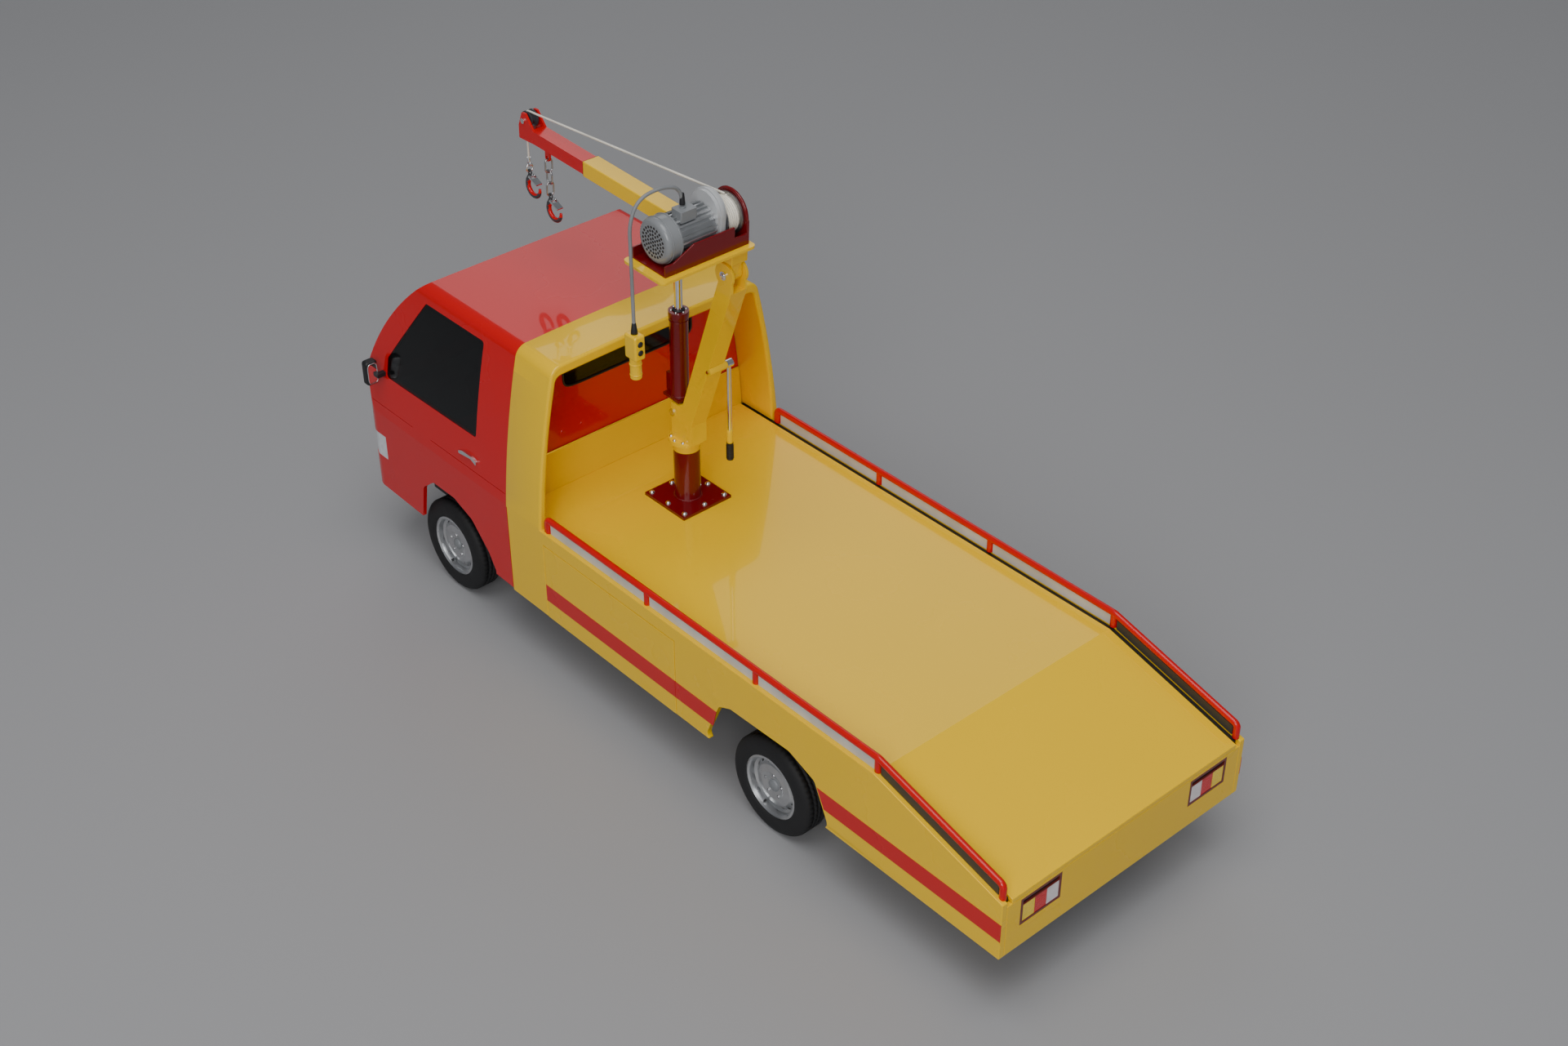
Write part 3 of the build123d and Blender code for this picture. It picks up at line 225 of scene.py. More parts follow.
NODE_MATERIALS = {
    "bed_frame": YELLOW, "deck_plate": YELLOW, "side_skirts": YELLOW, "locker_panels": YELLOW,
    "tail_panel": YELLOW, "bulkhead_panel": YELLOW, "cab_guard": YELLOW, "mast": YELLOW,
    "boom_outer": YELLOW, "winch_plate": YELLOW, "pendant_case": YELLOW, "side_rails": RED,
    "cab_shell": RED, "boom_inner": RED, "front_bumper": RED, "crane_base": DARK_RED,
    "winch_tray": DARK_RED, "jack_cylinder": DARK_RED, "chassis": BLACK, "edge_channels": BLACK,
    "cab_interior": INTERIOR, "grille": BLACK, "mirrors": BLACK, "lever_grip": BLACK,
    "rail_strips": STRIP, "gear_cover": GEAR_GREY, "terminal_box": BOX_GREY, "fan_cover": FAN_GREY,
    "sheave": HOOK_GREY, "rope_hook": HOOK_GREY, "chain_hook": HOOK_GREY, "motor_body": ALUMINIUM,
    "front_tyres": TYRE, "rear_tyres": TYRE, "front_rims": WHEEL_STEEL, "rear_rims": WHEEL_STEEL,
    "door_handles": CHROME, "base_bolts": CHROME, "mast_fasteners": CHROME, "lever_arm": CHROME,
    "jack_rod": CHROME, "sheave_pin": CHROME, "front_axle": CHROME, "rear_axle": CHROME,
    "rope_thimble": CHROME, "cab_glazing": GLASS, "tail_lenses": RED_LENS, "headlamps": CLEAR,
    "tail_lamp_bezels": BEZEL, "rope_winding": ROPE, "rope_run": ROPE, "rope_fall": ROPE,
    "pendant_cable": CABLE, "winch_drum": ZINC, "chain_link_1": ZINC, "chain_link_2": ZINC,
    "chain_link_3": ZINC, "rope_hook_latch": CHROME, "chain_hook_latch": CHROME,
    "underside_fasteners": ZINC,
}
SOFT_EDGES = {
    "cab_guard": 0.5, "deck_plate": 0.25, "side_skirts": 0.35, "tail_panel": 0.25, "mast": 0.3,
    "boom_outer": 0.3, "boom_inner": 0.25, "winch_plate": 0.25, "winch_tray": 0.18,
    "crane_base": 0.2, "jack_cylinder": 0.2, "gear_cover": 0.35, "terminal_box": 0.2,
    "bulkhead_panel": 0.2, "locker_panels": 0.15, "mirrors": 0.1, "chassis": 0.4,
    "tail_lamp_bezels": 0.12, "bed_frame": 0.2,
}


def dress_cad_nodes():
    """Materials on every carried-over node, and rounded edges where the real piece has them."""
    for name, node in frame["nodes"].items():
        node.data.materials.clear()
        node.data.materials.append(NODE_MATERIALS[name])
        if name in SOFT_EDGES:
            weld = node.modifiers.new("weld", "WELD")
            weld.merge_threshold = 0.002 * MM
            bevel = node.modifiers.new("soft_edges", "BEVEL")
            bevel.width = SOFT_EDGES[name] * MM
            bevel.segments = 3
            bevel.limit_method = "ANGLE"
            bevel.angle_limit = math.radians(38)
            bevel.harden_normals = True


# ================= mesh helpers =================
def new_object(name, mesh_data, material, body):
    made = bpy.data.objects.new(name, mesh_data)
    bpy.context.scene.collection.objects.link(made)
    if material is not None:
        made.data.materials.append(material)
    if body is not None:
        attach(made, body)
    return made


def mesh_from(name, vertices, faces, material, body, slot, smooth=True):
    data = bpy.data.meshes.new(name)
    data.from_pydata([tuple(v) for v in vertices], [], faces)
    data.validate()
    for face in data.polygons:
        face.use_smooth = smooth
    return new_object(name, data, material, body)


def turned(profile, place, axis, segments=64):
    """Vertices and faces of a (radius, height) outline turned about an axis, closed at its ends."""
    side = axis.orthogonal().normalized()
    other = axis.cross(side)
    vertices, faces = [], []
    count = len(profile)
    for i in range(segments):
        angle = 2 * math.pi * i / segments
        out = side * math.cos(angle) + other * math.sin(angle)
        vertices += [place + out * radius + axis * height for radius, height in profile]
    for i in range(segments):
        j = (i + 1) % segments
        for k in range(count - 1):
            faces.append((i * count + k, j * count + k, j * count + k + 1, i * count + k + 1))
    faces.append(tuple(i * count for i in reversed(range(segments))))
    faces.append(tuple(i * count + count - 1 for i in range(segments)))
    return vertices, faces


def merged(parts):
    """Several vertex and face lists as one."""
    vertices, faces = [], []
    for part_vertices, part_faces in parts:
        shift = len(vertices)
        vertices += list(part_vertices)
        faces += [tuple(i + shift for i in face) for face in part_faces]
    return vertices, faces


def tube(points, radius, sides=14, lobes=0, lay=0.0, closed=False, radii=None):
    """Round or stranded tube along points; lay is the length of one turn of the strands."""
    count = len(points)
    tangents = []
    for i in range(count):
        before = points[i - 1] if (i > 0 or closed) else points[i]
        after = points[(i + 1) % count] if (i < count - 1 or closed) else points[i]
        tangents.append((after - before).normalized())
    side = tangents[0].orthogonal().normalized()
    vertices, faces = [], []
    travelled = 0.0
    for i in range(count):
        if i:
            travelled += (points[i] - points[i - 1]).length
        side = (side - tangents[i] * side.dot(tangents[i])).normalized()
        other = tangents[i].cross(side)
        for k in range(sides):
            angle = 2 * math.pi * k / sides
            swell = 1.0
            if lobes:
                swell = 0.86 + 0.14 * abs(math.cos(lobes / 2 * (angle + 2 * math.pi * travelled / lay)))
            reach = (radii[i] if radii else radius) * swell
            vertices.append(points[i] + (side * math.cos(angle) + other * math.sin(angle)) * reach)
    for i in range(count if closed else count - 1):
        j = (i + 1) % count
        for k in range(sides):
            m = (k + 1) % sides
            faces.append((i * sides + k, i * sides + m, j * sides + m, j * sides + k))
    if not closed:
        faces.append(tuple(reversed(range(sides))))
        faces.append(tuple((count - 1) * sides + k for k in range(sides)))
    return vertices, faces


def dome(place, axis, radius, height, segments=20):
    steps = [math.pi / 2 * i / 5 for i in range(5)]
    profile = [(radius * math.cos(a), height * math.sin(a)) for a in steps] + [(0.02 * radius, height)]
    return turned([(radius, -0.02 * height)] + profile, place, axis, segments)


def hexagon(place, axis, radius, height):
    return turned([(radius, 0), (radius, 0.8 * height), (0.85 * radius, height)], place, axis, 6)


def bar(low, high):
    """Vertices and faces of a straight bar between two corners."""
    spans = list(zip(low, high))
    vertices = [Vector((x, y, z)) for x in spans[0] for y in spans[1] for z in spans[2]]
    faces = [(0, 1, 3, 2), (4, 6, 7, 5), (0, 4, 5, 1), (2, 3, 7, 6), (0, 2, 6, 4), (1, 5, 7, 3)]
    return vertices, faces


def soften(piece, width, segments=3):
    bevel = piece.modifiers.new("soft_edges", "BEVEL")
    bevel.width = width
    bevel.segments = segments
    bevel.limit_method = "ANGLE"
    bevel.angle_limit = math.radians(35)
    bevel.harden_normals = True
    return piece


# ================= camera, cable =================
def make_camera():
    data = bpy.data.cameras.new("camera")
    data.lens = 50
    data.sensor_width = 36
    data.clip_start = 0.01
    camera = bpy.data.objects.new("camera", data)
    bpy.context.scene.collection.objects.link(camera)
    camera.location = (-0.41686, 0.36247, 0.4525)
    camera.rotation_mode = "QUATERNION"
    camera.rotation_quaternion = Vector((0.6088, -0.5424, -0.5789)).to_track_quat("-Z", "Y")
    bpy.context.scene.camera = camera


CABLE_STEPS = [
    (0, 0, 0.12), (0, 0, 5.6), (0.5, 7.0, 7.8), (1.4, 14.5, 6.2), (1.9, 17.4, -0.5), (1.9, 17.4, -7.8),
    (1.9, 17.4, -35.3),
]
CABLE_DIAMETER = 1.1 * MM


def control_cable():
    """The hanging control cable as one smooth curve from the gland to the hand control."""
    gland = joint_place("hand_control_plumb")
    route = [gland + Vector(step) * MM for step in CABLE_STEPS]
    data = bpy.data.curves.new("control_cable", "CURVE")
    data.dimensions = "3D"
    data.bevel_depth = CABLE_DIAMETER / 2
    data.bevel_resolution = 5
    data.use_fill_caps = True
    spline = data.splines.new("NURBS")
    spline.points.add(len(route) - 1)
    for point, place in zip(spline.points, route):
        point.co = (*place, 1)
    spline.order_u = 3
    spline.use_endpoint_u = True
    spline.resolution_u = 16
    cable = new_object("control_cable", data, CABLE, "hand_control")
    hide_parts("pendant_cable")


# ================= ropes =================
ROPE_RADIUS = 0.35 * MM
ROPE_LAY = 2.4 * MM
WINDING_TURNS = 6


def rope_winding():
    """The rope wound on the drum, turn beside turn."""
    low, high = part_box("rope_winding")
    middle = centre("rope_winding")
    reach = (high.x - low.x) / 2 - ROPE_RADIUS
    first, last = low.y + ROPE_RADIUS, high.y - ROPE_RADIUS
    steps = WINDING_TURNS * 64
    points = []
    for i in range(steps + 1):
        angle = 2 * math.pi * WINDING_TURNS * i / steps
        y = first + (last - first) * i / steps
        points.append(Vector((middle.x + reach * math.sin(angle), y, middle.z + reach * math.cos(angle))))
    coil = tube(points, ROPE_RADIUS, 12, 3, ROPE_LAY)
    inside = reach - 0.1 * MM
    foot = Vector((middle.x, low.y, middle.z))
    core = turned([(inside, 0), (inside, high.y - low.y)], foot, Y)
    piece = mesh_from("wound_rope", *merged([coil, core]), ROPE, "drum", "rope_fibre")
    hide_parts("rope_winding")


def straight_points(start, end, count):
    return [start.lerp(end, i / count) for i in range(count + 1)]


def rope_lines():
    """Rope from the drum to the rope wheel, over the wheel, and down to the thimble."""
    low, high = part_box("rope_run")
    y = centre("rope_run").y
    drop = ROPE_RADIUS
    start, end = Vector((low.x, y, high.z - drop)), Vector((high.x, y, low.z + drop))
    run = mesh_from("rope_to_wheel", *tube(straight_points(start, end, 260), ROPE_RADIUS, 12, 3, ROPE_LAY),
                    ROPE, None, "rope_fibre")
    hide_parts("rope_run")
    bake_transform(run)
    wheel = joint_place("sheave_spin")
    fall_low, fall_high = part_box("rope_fall")
    reach = (fall_low.x + fall_high.x) / 2 - wheel.x
    first = math.atan2(end.z - wheel.z, end.x - wheel.x)
    points = []
    for i in range(25):
        angle = first * (1 - i / 24)
        points.append(Vector((wheel.x + reach * math.cos(angle), y, wheel.z + reach * math.sin(angle))))
    wrap = tube(points, ROPE_RADIUS, 12, 3, ROPE_LAY)
    mesh_from("rope_over_wheel", *wrap, ROPE, "sliding_boom", "rope_fibre")
    top = Vector((wheel.x + reach, y, fall_high.z))
    bottom = Vector((wheel.x + reach, y, fall_low.z))
    fall = mesh_from("rope_to_hook", *tube(straight_points(top, bottom, 48), ROPE_RADIUS, 12, 3, ROPE_LAY),
                     ROPE, None, "rope_fibre")
    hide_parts("rope_fall")
    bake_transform(fall)


# ================= hooks =================
def crane_hook(name, node, body, ring):
    """Forged hook: round eye, tapering shank and bowl, red throat and tip."""
    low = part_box(node)[0]
    y = centre(node).y
    bowl = Vector((low.x + 4.2 * MM, y, low.z + 4.2 * MM))
    eye = Vector((bowl.x + 1.8 * MM, y, bowl.z + 4.5 * MM))
    points, radii = [], []
    for i in range(8):
        share = i / 7
        place = eye + Vector((0.15, 0, -0.9)) * MM
        points.append(place.lerp(bowl + Vector((2.75, 0, 1.6)) * MM, share))
        radii.append((0.62 + 0.45 * share) * MM)
    for i in range(1, 31):
        angle = math.radians(28 - 212 * i / 30)
        reach = (3.22 - 0.1 * i / 30) * MM
        points.append(bowl + Vector((math.cos(angle), 0, math.sin(angle))) * reach)
        thick = 0.98 if i < 12 else 0.98 - 0.5 * ((i - 12) / 18) ** 1.5
        radii.append(thick * MM)
    vertices, faces = tube(points, 1, 16, radii=radii)
    vertices = [Vector((v.x, y + (v.y - y) * 0.8, v.z)) for v in vertices]
    ring_points = []
    for i in range(32):
        angle = 2 * math.pi * i / 32
        ring_points.append(eye + Vector((math.cos(angle), 0, math.sin(angle))) * 0.86 * MM)
    body_parts = merged([(vertices, faces), tube(ring_points, 0.24 * MM, 10, closed=True)])
    piece = mesh_from(name, *body_parts, HOOK_GREY, body, "dark_grey_metal")
    piece.data.materials.append(RED)
    for face in piece.data.polygons:
        place = face.center
        tip = place.x < bowl.x - 1.6 * MM and place.z > bowl.z - 1.2 * MM
        throat = (place - bowl).length < 2.75 * MM and place.z < bowl.z + 2.4 * MM
        if tip or throat:
            face.material_index = 1
    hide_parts(node)
    if ring:
        loop = []
        for i in range(40):
            angle = 2 * math.pi * i / 40
            loop.append(eye + Vector((0, math.cos(angle) * 1.25, 1.53 + math.sin(angle) * 1.25)) * MM)
        mesh_from(name + "_ring", *tube(loop, 0.28 * MM, 12, closed=True), CHROME, body, "bright_steel")


# ================= wheels =================
TREAD_PITCHES = 56


def tyre_form(place, side, radius, width):
    """Tyre with rounded shoulders, three grooves round it and sipes across its ribs."""
    half = width / 2
    face = half - 0.6 * MM
    profile = [(radius - 6.0 * MM, -face), (radius - 5.4 * MM, -half + 0.1 * MM),
               (radius - 4.2 * MM, -half), (radius - 2.4 * MM, -half + 0.1 * MM),
               (radius - 0.9 * MM, -half + 0.6 * MM),
               (radius - 0.2 * MM, -half + 1.4 * MM), (radius, -half + 1.9 * MM)]
    for groove in (-1.5, 0.0, 1.5):
        for offset, depth in ((-0.26, 0.0), (-0.2, 0.55), (0.2, 0.55), (0.26, 0.0)):
            profile.append((radius - depth * MM, (groove + offset) * MM))
    profile += [(r, -h) for r, h in reversed(profile[:7])]
    segments = TREAD_PITCHES * 4
    vertices, faces = turned(profile, place, Y * side, segments)
    count = len(profile)
    for i in range(segments):
        for k in range(count):
            on_rib = profile[k][0] > radius - 0.05 * MM
            if on_rib and i % 4 == 0:
                v = vertices[i * count + k]
                out = Vector((v.x - place.x, 0, v.z - place.z))
                vertices[i * count + k] = v - out.normalized() * 0.3 * MM
    return vertices, faces[:-2]


def make_wheels():
    for end in ("front", "rear"):
        body = end + "_wheels"
        low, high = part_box(end + "_tyres")
        middle = centre(end + "_tyres")
        radius = (high.z - low.z) / 2
        width = 9.5 * MM
        forms = []
        for side in (1, -1):
            place = Vector((middle.x, side * (high.y - width / 2), middle.z))
            forms.append(tyre_form(place, side, radius, width))
        tyres = mesh_from(end + "_treaded_tyres", *merged(forms), TYRE, body, "tyre_rubber")
        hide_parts(end + "_tyres")
        caps, nuts, valves = [], [], []
        for side in (1, -1):
            face = Vector((middle.x, side * (high.y - 2.1 * MM), middle.z))
            caps.append(dome(face, Y * side, 2.1 * MM, 1.0 * MM, 32))
            for i in range(5):
                angle = 2 * math.pi * (i + 0.25) / 5
                spot = face + Vector((math.cos(angle), 0, math.sin(angle))) * 3.7 * MM
                nuts.append(hexagon(spot - Y * side * 0.2 * MM, Y * side, 0.5 * MM, 0.75 * MM))
            spot = face + Vector((0.4, 0, -0.92)).normalized() * 9.0 * MM
            valves.append(dome(spot + Y * side * 0.1 * MM, Y * side, 0.35 * MM, 1.0 * MM, 12))
        mesh_from(end + "_hub_caps", *merged(caps), BOX_GREY, body, "dark_grey_metal")
        mesh_from(end + "_wheel_nuts", *merged(nuts), ZINC, body, "zinc_steel", smooth=False)
        mesh_from(end + "_valves", *merged(valves), BLACK, body, "black_plastic")


# ================= bed details =================
STRIPE_LOW = 28.3 * MM
STRIPE_HIGH = 34.6 * MM


def side_stripes():
    """Painted bands along both sides, cut by the rear wheel arch."""
    low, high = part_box("side_skirts")
    locker_low, locker_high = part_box("locker_panels")
    wheel = centre("rear_tyres").x
    ahead_low, ahead_high = wheel + 22.0 * MM, wheel + 20.4 * MM
    behind_low, behind_high = wheel - 26.6 * MM, wheel - 23.6 * MM
    spans = [
        (low.x, low.x, behind_low, behind_high),
        (ahead_low, ahead_high, locker_low.x - 0.15 * MM, locker_low.x - 0.15 * MM),
        (locker_low.x, locker_low.x, locker_high.x, locker_high.x),
    ]
    parts = []
    for side in (1, -1):
        for rear_low, rear_high, front_low, front_high in spans:
            inner, outer = side * (high.y - 0.1 * MM), side * (high.y + 0.06 * MM)
            corners = [(rear_low, STRIPE_LOW), (front_low, STRIPE_LOW), (front_high, STRIPE_HIGH),
                       (rear_high, STRIPE_HIGH)]
            vertices = [Vector((x, y, z)) for y in (inner, outer) for x, z in corners]
            faces = [(3, 2, 1, 0), (4, 5, 6, 7), (0, 1, 5, 4), (1, 2, 6, 5), (2, 3, 7, 6), (3, 0, 4, 7)]
            parts.append((vertices, faces))
    mesh_from("side_stripes", *merged(parts), RED, "truck", "red_enamel", smooth=False)


def tail_lamps():
    """Ribbed lenses in three colours: yellow outside, red, then white, on each side."""
    low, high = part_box("tail_lenses")
    bezel_low, bezel_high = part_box("tail_lamp_bezels")
    inner_end = 27.5 * MM
    third = (high.y - inner_end) / 3
    for i, (name, material) in enumerate((("yellow", AMBER), ("red", RED_LENS), ("white", WHITE_LENS))):
        parts = []
        for side in (1, -1):
            y1 = side * (high.y - i * third - 0.05 * MM)
            y0 = side * (high.y - (i + 1) * third + 0.05 * MM)
            ribs = 9
            vertices, faces = [], []
            for k in range(ribs * 2 + 1):
                z = low.z + (high.z - low.z) * k / (ribs * 2)
                x = low.x + (0.0 if k % 2 else 0.1) * MM
                corners = ((x, y0), (x, y1), (high.x, y1), (high.x, y0))
                vertices += [Vector((*corner, z)) for corner in corners]
                if k:
                    b = 4 * k
                    for m in range(4):
                        n = (m + 1) % 4
                        faces.append((b - 4 + m, b - 4 + n, b + n, b + m))
            faces.append((0, 1, 2, 3))
            faces.append(tuple(4 * ribs * 2 + m for m in (3, 2, 1, 0)))
            parts.append((vertices, faces))
        piece = mesh_from("tail_lens_" + name, *merged(parts), material, "truck", "lamp_lens", smooth=False)
        if i == 0:
            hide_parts("tail_lenses")
    slots = []
    for side in (1, -1):
        ys = sorted((side * (inner_end + 0.1 * MM), side * (high.y - 0.1 * MM)))
        slots.append(bar((bezel_low.x + 0.55 * MM, ys[0], high.z + 0.35 * MM),
                         (bezel_low.x + 0.92 * MM, ys[1], bezel_high.z - 0.95 * MM)))
    mesh_from("tail_lamp_slots", *merged(slots), BLACK, "truck", "black_plastic", smooth=False)


# ================= cab details =================
def glass_finder():
    """Finds points on the outside of the cab's skin and glass."""
    trees = []
    for name in ("cab_glazing", "cab_shell", "grille"):
        data = frame["nodes"][name].data
        places = [vertex.co.copy() for vertex in data.vertices]
        trees.append(BVHTree.FromPolygons(places, [tuple(face.vertices) for face in data.polygons]))
    return trees


def front_point(trees, y, z, proud):
    """Point on the nose or windscreen at y, z, standing proud of the surface."""
    best = None
    for tree in trees:
        place, normal, _, _ = tree.ray_cast(Vector((0.3, y, z)), -X)
        if place is not None and (best is None or place.x > best[0].x):
            best = (place, normal)
    place, normal = best
    if normal.x < 0:
        normal = -normal
    return place + normal * proud


def wipers(trees):
    """Two wiper arms with rubber blades, lying on the windscreen."""
    arms, blades = [], []
    for y0 in (-26.0, 10.0):
        start, end = (y0, 67.5), (y0 + 22.0, 84.0)
        line = [front_point(trees, (start[0] + (end[0] - start[0]) * t / 14) * MM,
                            (start[1] + (end[1] - start[1]) * t / 14) * MM, 0.42 * MM) for t in range(15)]
        arms.append(tube(line[:11], 0.32 * MM, 10))
        low = [front_point(trees, (y0 - 3.0 + 25.0 * t / 14) * MM, (73.0 + 13.0 * t / 14) * MM, 0.22 * MM)
               for t in range(15)]
        blades.append(tube(low, 0.24 * MM, 8))
        arms.append(dome(line[0] - X * 0.6 * MM, Vector((0.9, 0, 0.44)).normalized(), 1.0 * MM, 0.9 * MM))
    mesh_from("wiper_arms", *merged(arms), BLACK, "truck", "black_plastic")
    mesh_from("wiper_blades", *merged(blades), TYRE, "truck", "black_plastic")


def lamp_details():
    """Bright reflector rings and bulbs in the headlamps, side repeaters beside them."""
    low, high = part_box("headlamps")
    z = (low.z + high.z) / 2
    rings, bulbs, amber = [], [], []
    for side in (1, -1):
        place = Vector((high.x - 0.35 * MM, side * 36.5 * MM, z))
        outline = [(4.0, -0.6), (4.0, 0.25), (3.6, 0.4), (3.2, 0.1), (2.6, -0.3)]
        rings.append(turned([(radius * MM, height * MM) for radius, height in outline], place, X, 40))
        bulbs.append(dome(place - X * 0.3 * MM, X, 1.5 * MM, 0.75 * MM, 24))
        amber.append(dome(place - Y * side * 5.6 * MM, X, 1.5 * MM, 0.35 * MM, 20))
    mesh_from("headlamp_rings", *merged(rings), CHROME, "truck", "bright_steel")
    mesh_from("headlamp_bulbs", *merged(bulbs), CLEAR, "truck", "headlamp_lens")
    mesh_from("turn_lamps", *merged(amber), AMBER, "truck", "lamp_lens")


def mirror_details():
    """Silvered glass in each mirror and a bright rim round it."""
    low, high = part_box("mirrors")
    panes, rims = [], []
    for side in (1, -1):
        ys = sorted((side * 50.7 * MM, side * 53.9 * MM))
        x = high.x - 3.15 * MM
        panes.append(bar((x - 0.2 * MM, ys[0], low.z + 1.1 * MM), (x, ys[1], high.z - 1.1 * MM)))
        corners = []
        for i in range(40):
            angle = 2 * math.pi * i / 40
            c, s = math.cos(angle), math.sin(angle)
            across = side * 52.3 * MM + math.copysign(abs(c) ** 0.4, c) * 1.75 * MM
            up = (low.z + high.z) / 2 + math.copysign(abs(s) ** 0.4, s) * 3.65 * MM
            corners.append(Vector((high.x - 3.35 * MM, across, up)))
        rims.append(tube(corners, 0.18 * MM, 8, closed=True))
    mesh_from("mirror_panes", *merged(panes), MIRROR_GLASS, "truck", "bright_steel", smooth=False)
    mesh_from("mirror_rims", *merged(rims), CHROME, "truck", "bright_steel")


def window_seals():
    """Thin dark rubber round the rear window, and the bright seam under the red panel."""
    low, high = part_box("bulkhead_panel")
    x = low.x - 0.05 * MM
    pane_x = low.x + 0.38 * MM
    corners = []
    for i in range(72):
        angle = 2 * math.pi * i / 72
        c, s = math.cos(angle), math.sin(angle)
        corners.append(Vector((pane_x, math.copysign(abs(c) ** 0.16, c) * 26.1 * MM,
                               96.6 * MM + math.copysign(abs(s) ** 0.3, s) * 6.7 * MM)))
    seal = tube(corners, 0.35 * MM, 8, closed=True)
    mesh_from("rear_window_seal", *seal, BLACK, "truck", "black_plastic")
    seam = bar((x, -46.0 * MM, high.z - 0.3 * MM), (x + 0.3 * MM, 46.0 * MM, high.z + 0.25 * MM))
    mesh_from("bulkhead_seam", *seam, CHROME, "truck", "bright_steel", smooth=False)


def front_plate():
    """Blank plate on the front bumper."""
    low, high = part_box("front_bumper")
    z = (low.z + high.z) / 2
    rear_corner = (high.x - 1.15 * MM, -10.0 * MM, z - 1.9 * MM)
    front = bar(rear_corner, (high.x - 0.55 * MM, 10.0 * MM, z + 1.9 * MM))
    piece = mesh_from("blank_front_plate", *front, GREY, "truck", "grey_plastic", smooth=False)
    soften(piece, 0.12 * MM)


# ================= crane details =================
def winch_details():
    """Fan grille and beads, gear cover screws, end-plate rim, bearing cap and cable gland."""
    axis = joint_place("drum_spin")
    fan_low, fan_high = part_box("fan_cover")
    face = Vector((axis.x, fan_high.y, axis.z))
    holes = []
    for ring, count in enumerate((1, 6, 12, 18, 22)):
        for i in range(count):
            angle = 2 * math.pi * (i + 0.5 * (ring % 2)) / count
            spot = face + Vector((math.cos(angle), 0, math.sin(angle))) * ring * 1.12 * MM
            holes.append(turned([(0.4 * MM, -0.3 * MM), (0.4 * MM, 0.05 * MM)], spot, Y, 12))
    mesh_from("fan_grille_holes", *merged(holes), BLACK, "crane_boom", "black_plastic")
    bands = []
    for y, reach in ((fan_low.y + 0.5 * MM, 6.98), (fan_low.y + 3.4 * MM, 6.96)):
        loop = [Vector((axis.x + reach * MM * math.cos(a), y, axis.z + reach * MM * math.sin(a)))
                for a in [2 * math.pi * i / 72 for i in range(72)]]
        bands.append(tube(loop, 0.14 * MM, 8, closed=True))
    mesh_from("fan_cover_beads", *merged(bands), FAN_GREY, "crane_boom", "dark_grey_metal")
    gear_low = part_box("gear_cover")[0]
    screws = []
    for i in range(5):
        angle = math.radians(18 + 36 * i)
        across = axis.x + 5.2 * MM * math.cos(angle)
        spot = Vector((across, gear_low.y, axis.z + 3.2 * MM + 5.4 * MM * math.sin(angle)))
        screws.append(hexagon(spot + Y * 0.05 * MM, -Y, 0.42 * MM, 0.35 * MM))
    mesh_from("gear_cover_screws", *merged(screws), ZINC, "crane_boom", "zinc_steel", smooth=False)
    tray_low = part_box("winch_tray")[0]
    loop = []
    for i in range(60):
        angle = math.radians(-4 + 188 * i / 59)
        loop.append(Vector((axis.x + 7.0 * MM * math.cos(angle), tray_low.y + 0.5 * MM,
                            axis.z + 7.0 * MM * math.sin(angle))))
    mesh_from("end_plate_rim", *tube(loop, 0.5 * MM, 12), DARK_RED, "crane_boom", "dark_red_enamel")
    bearing = turned([(1.7 * MM, 0), (1.7 * MM, 0.25 * MM), (1.3 * MM, 0.45 * MM), (0.3 * MM, 0.45 * MM)],
                     Vector((axis.x, tray_low.y + 0.02 * MM, axis.z)), -Y, 32)
    mesh_from("end_bearing_cap", *bearing, ZINC, "crane_boom", "zinc_steel")
    box_low, box_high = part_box("terminal_box")
    gland = joint_place("hand_control_plumb")
    nut = turned([(0.93 * MM, 0), (0.93 * MM, 0.2 * MM), (0.8 * MM, 0.62 * MM)], gland - Z * 0.7 * MM, Z, 6)
    mesh_from("cable_gland_nut", *nut, BLACK, "crane_boom", "black_plastic", smooth=False)


def cable_sleeves():
    """Tapered strain reliefs at both ends of the control cable."""
    gland = joint_place("hand_control_plumb")
    low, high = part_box("pendant_case")
    middle = centre("pendant_case")
    outline = [(0.85, 0.3), (0.85, 0.8), (0.62, 3.6), (0.56, 3.7)]
    upper = turned([(radius * MM, height * MM) for radius, height in outline], gland + Z * 0.1 * MM, Z, 28)
    top = Vector((middle.x, middle.y, high.z))
    outline = [(1.05, -0.1), (1.0, 0.8), (0.62, 3.4), (0.56, 3.5)]
    lower = turned([(radius * MM, height * MM) for radius, height in outline], top, Z, 28)
    mesh_from("cable_sleeves", *merged([upper, lower]), BLACK, "hand_control", "cable_rubber")
    buttons = []
    for z in (high.z - 2.6 * MM, high.z - 5.4 * MM):
        face = Vector((low.x, middle.y, z)) + X * 0.05 * MM
        buttons.append(dome(face, -X, 0.95 * MM, 0.5 * MM, 24))
    mesh_from("control_buttons", *merged(buttons), BLACK, "hand_control", "black_plastic")
    ridge = turned([(1.78 * MM, 0), (1.9 * MM, 0.15 * MM), (1.9 * MM, 0.5 * MM), (1.78 * MM, 0.65 * MM)],
                   Vector((middle.x, middle.y, low.z + 4.6 * MM)), Z, 36)
    place = Vector((middle.x, middle.y, low.z + 1.2 * MM))
    outline = [(1.78, 0), (1.86, 0.12), (1.86, 0.34), (1.78, 0.46)]
    ridge_low = turned([(radius * MM, height * MM) for radius, height in outline], place, Z, 36)
    mesh_from("control_grip_ridges", *merged([ridge, ridge_low]), YELLOW, "hand_control", "yellow_enamel")


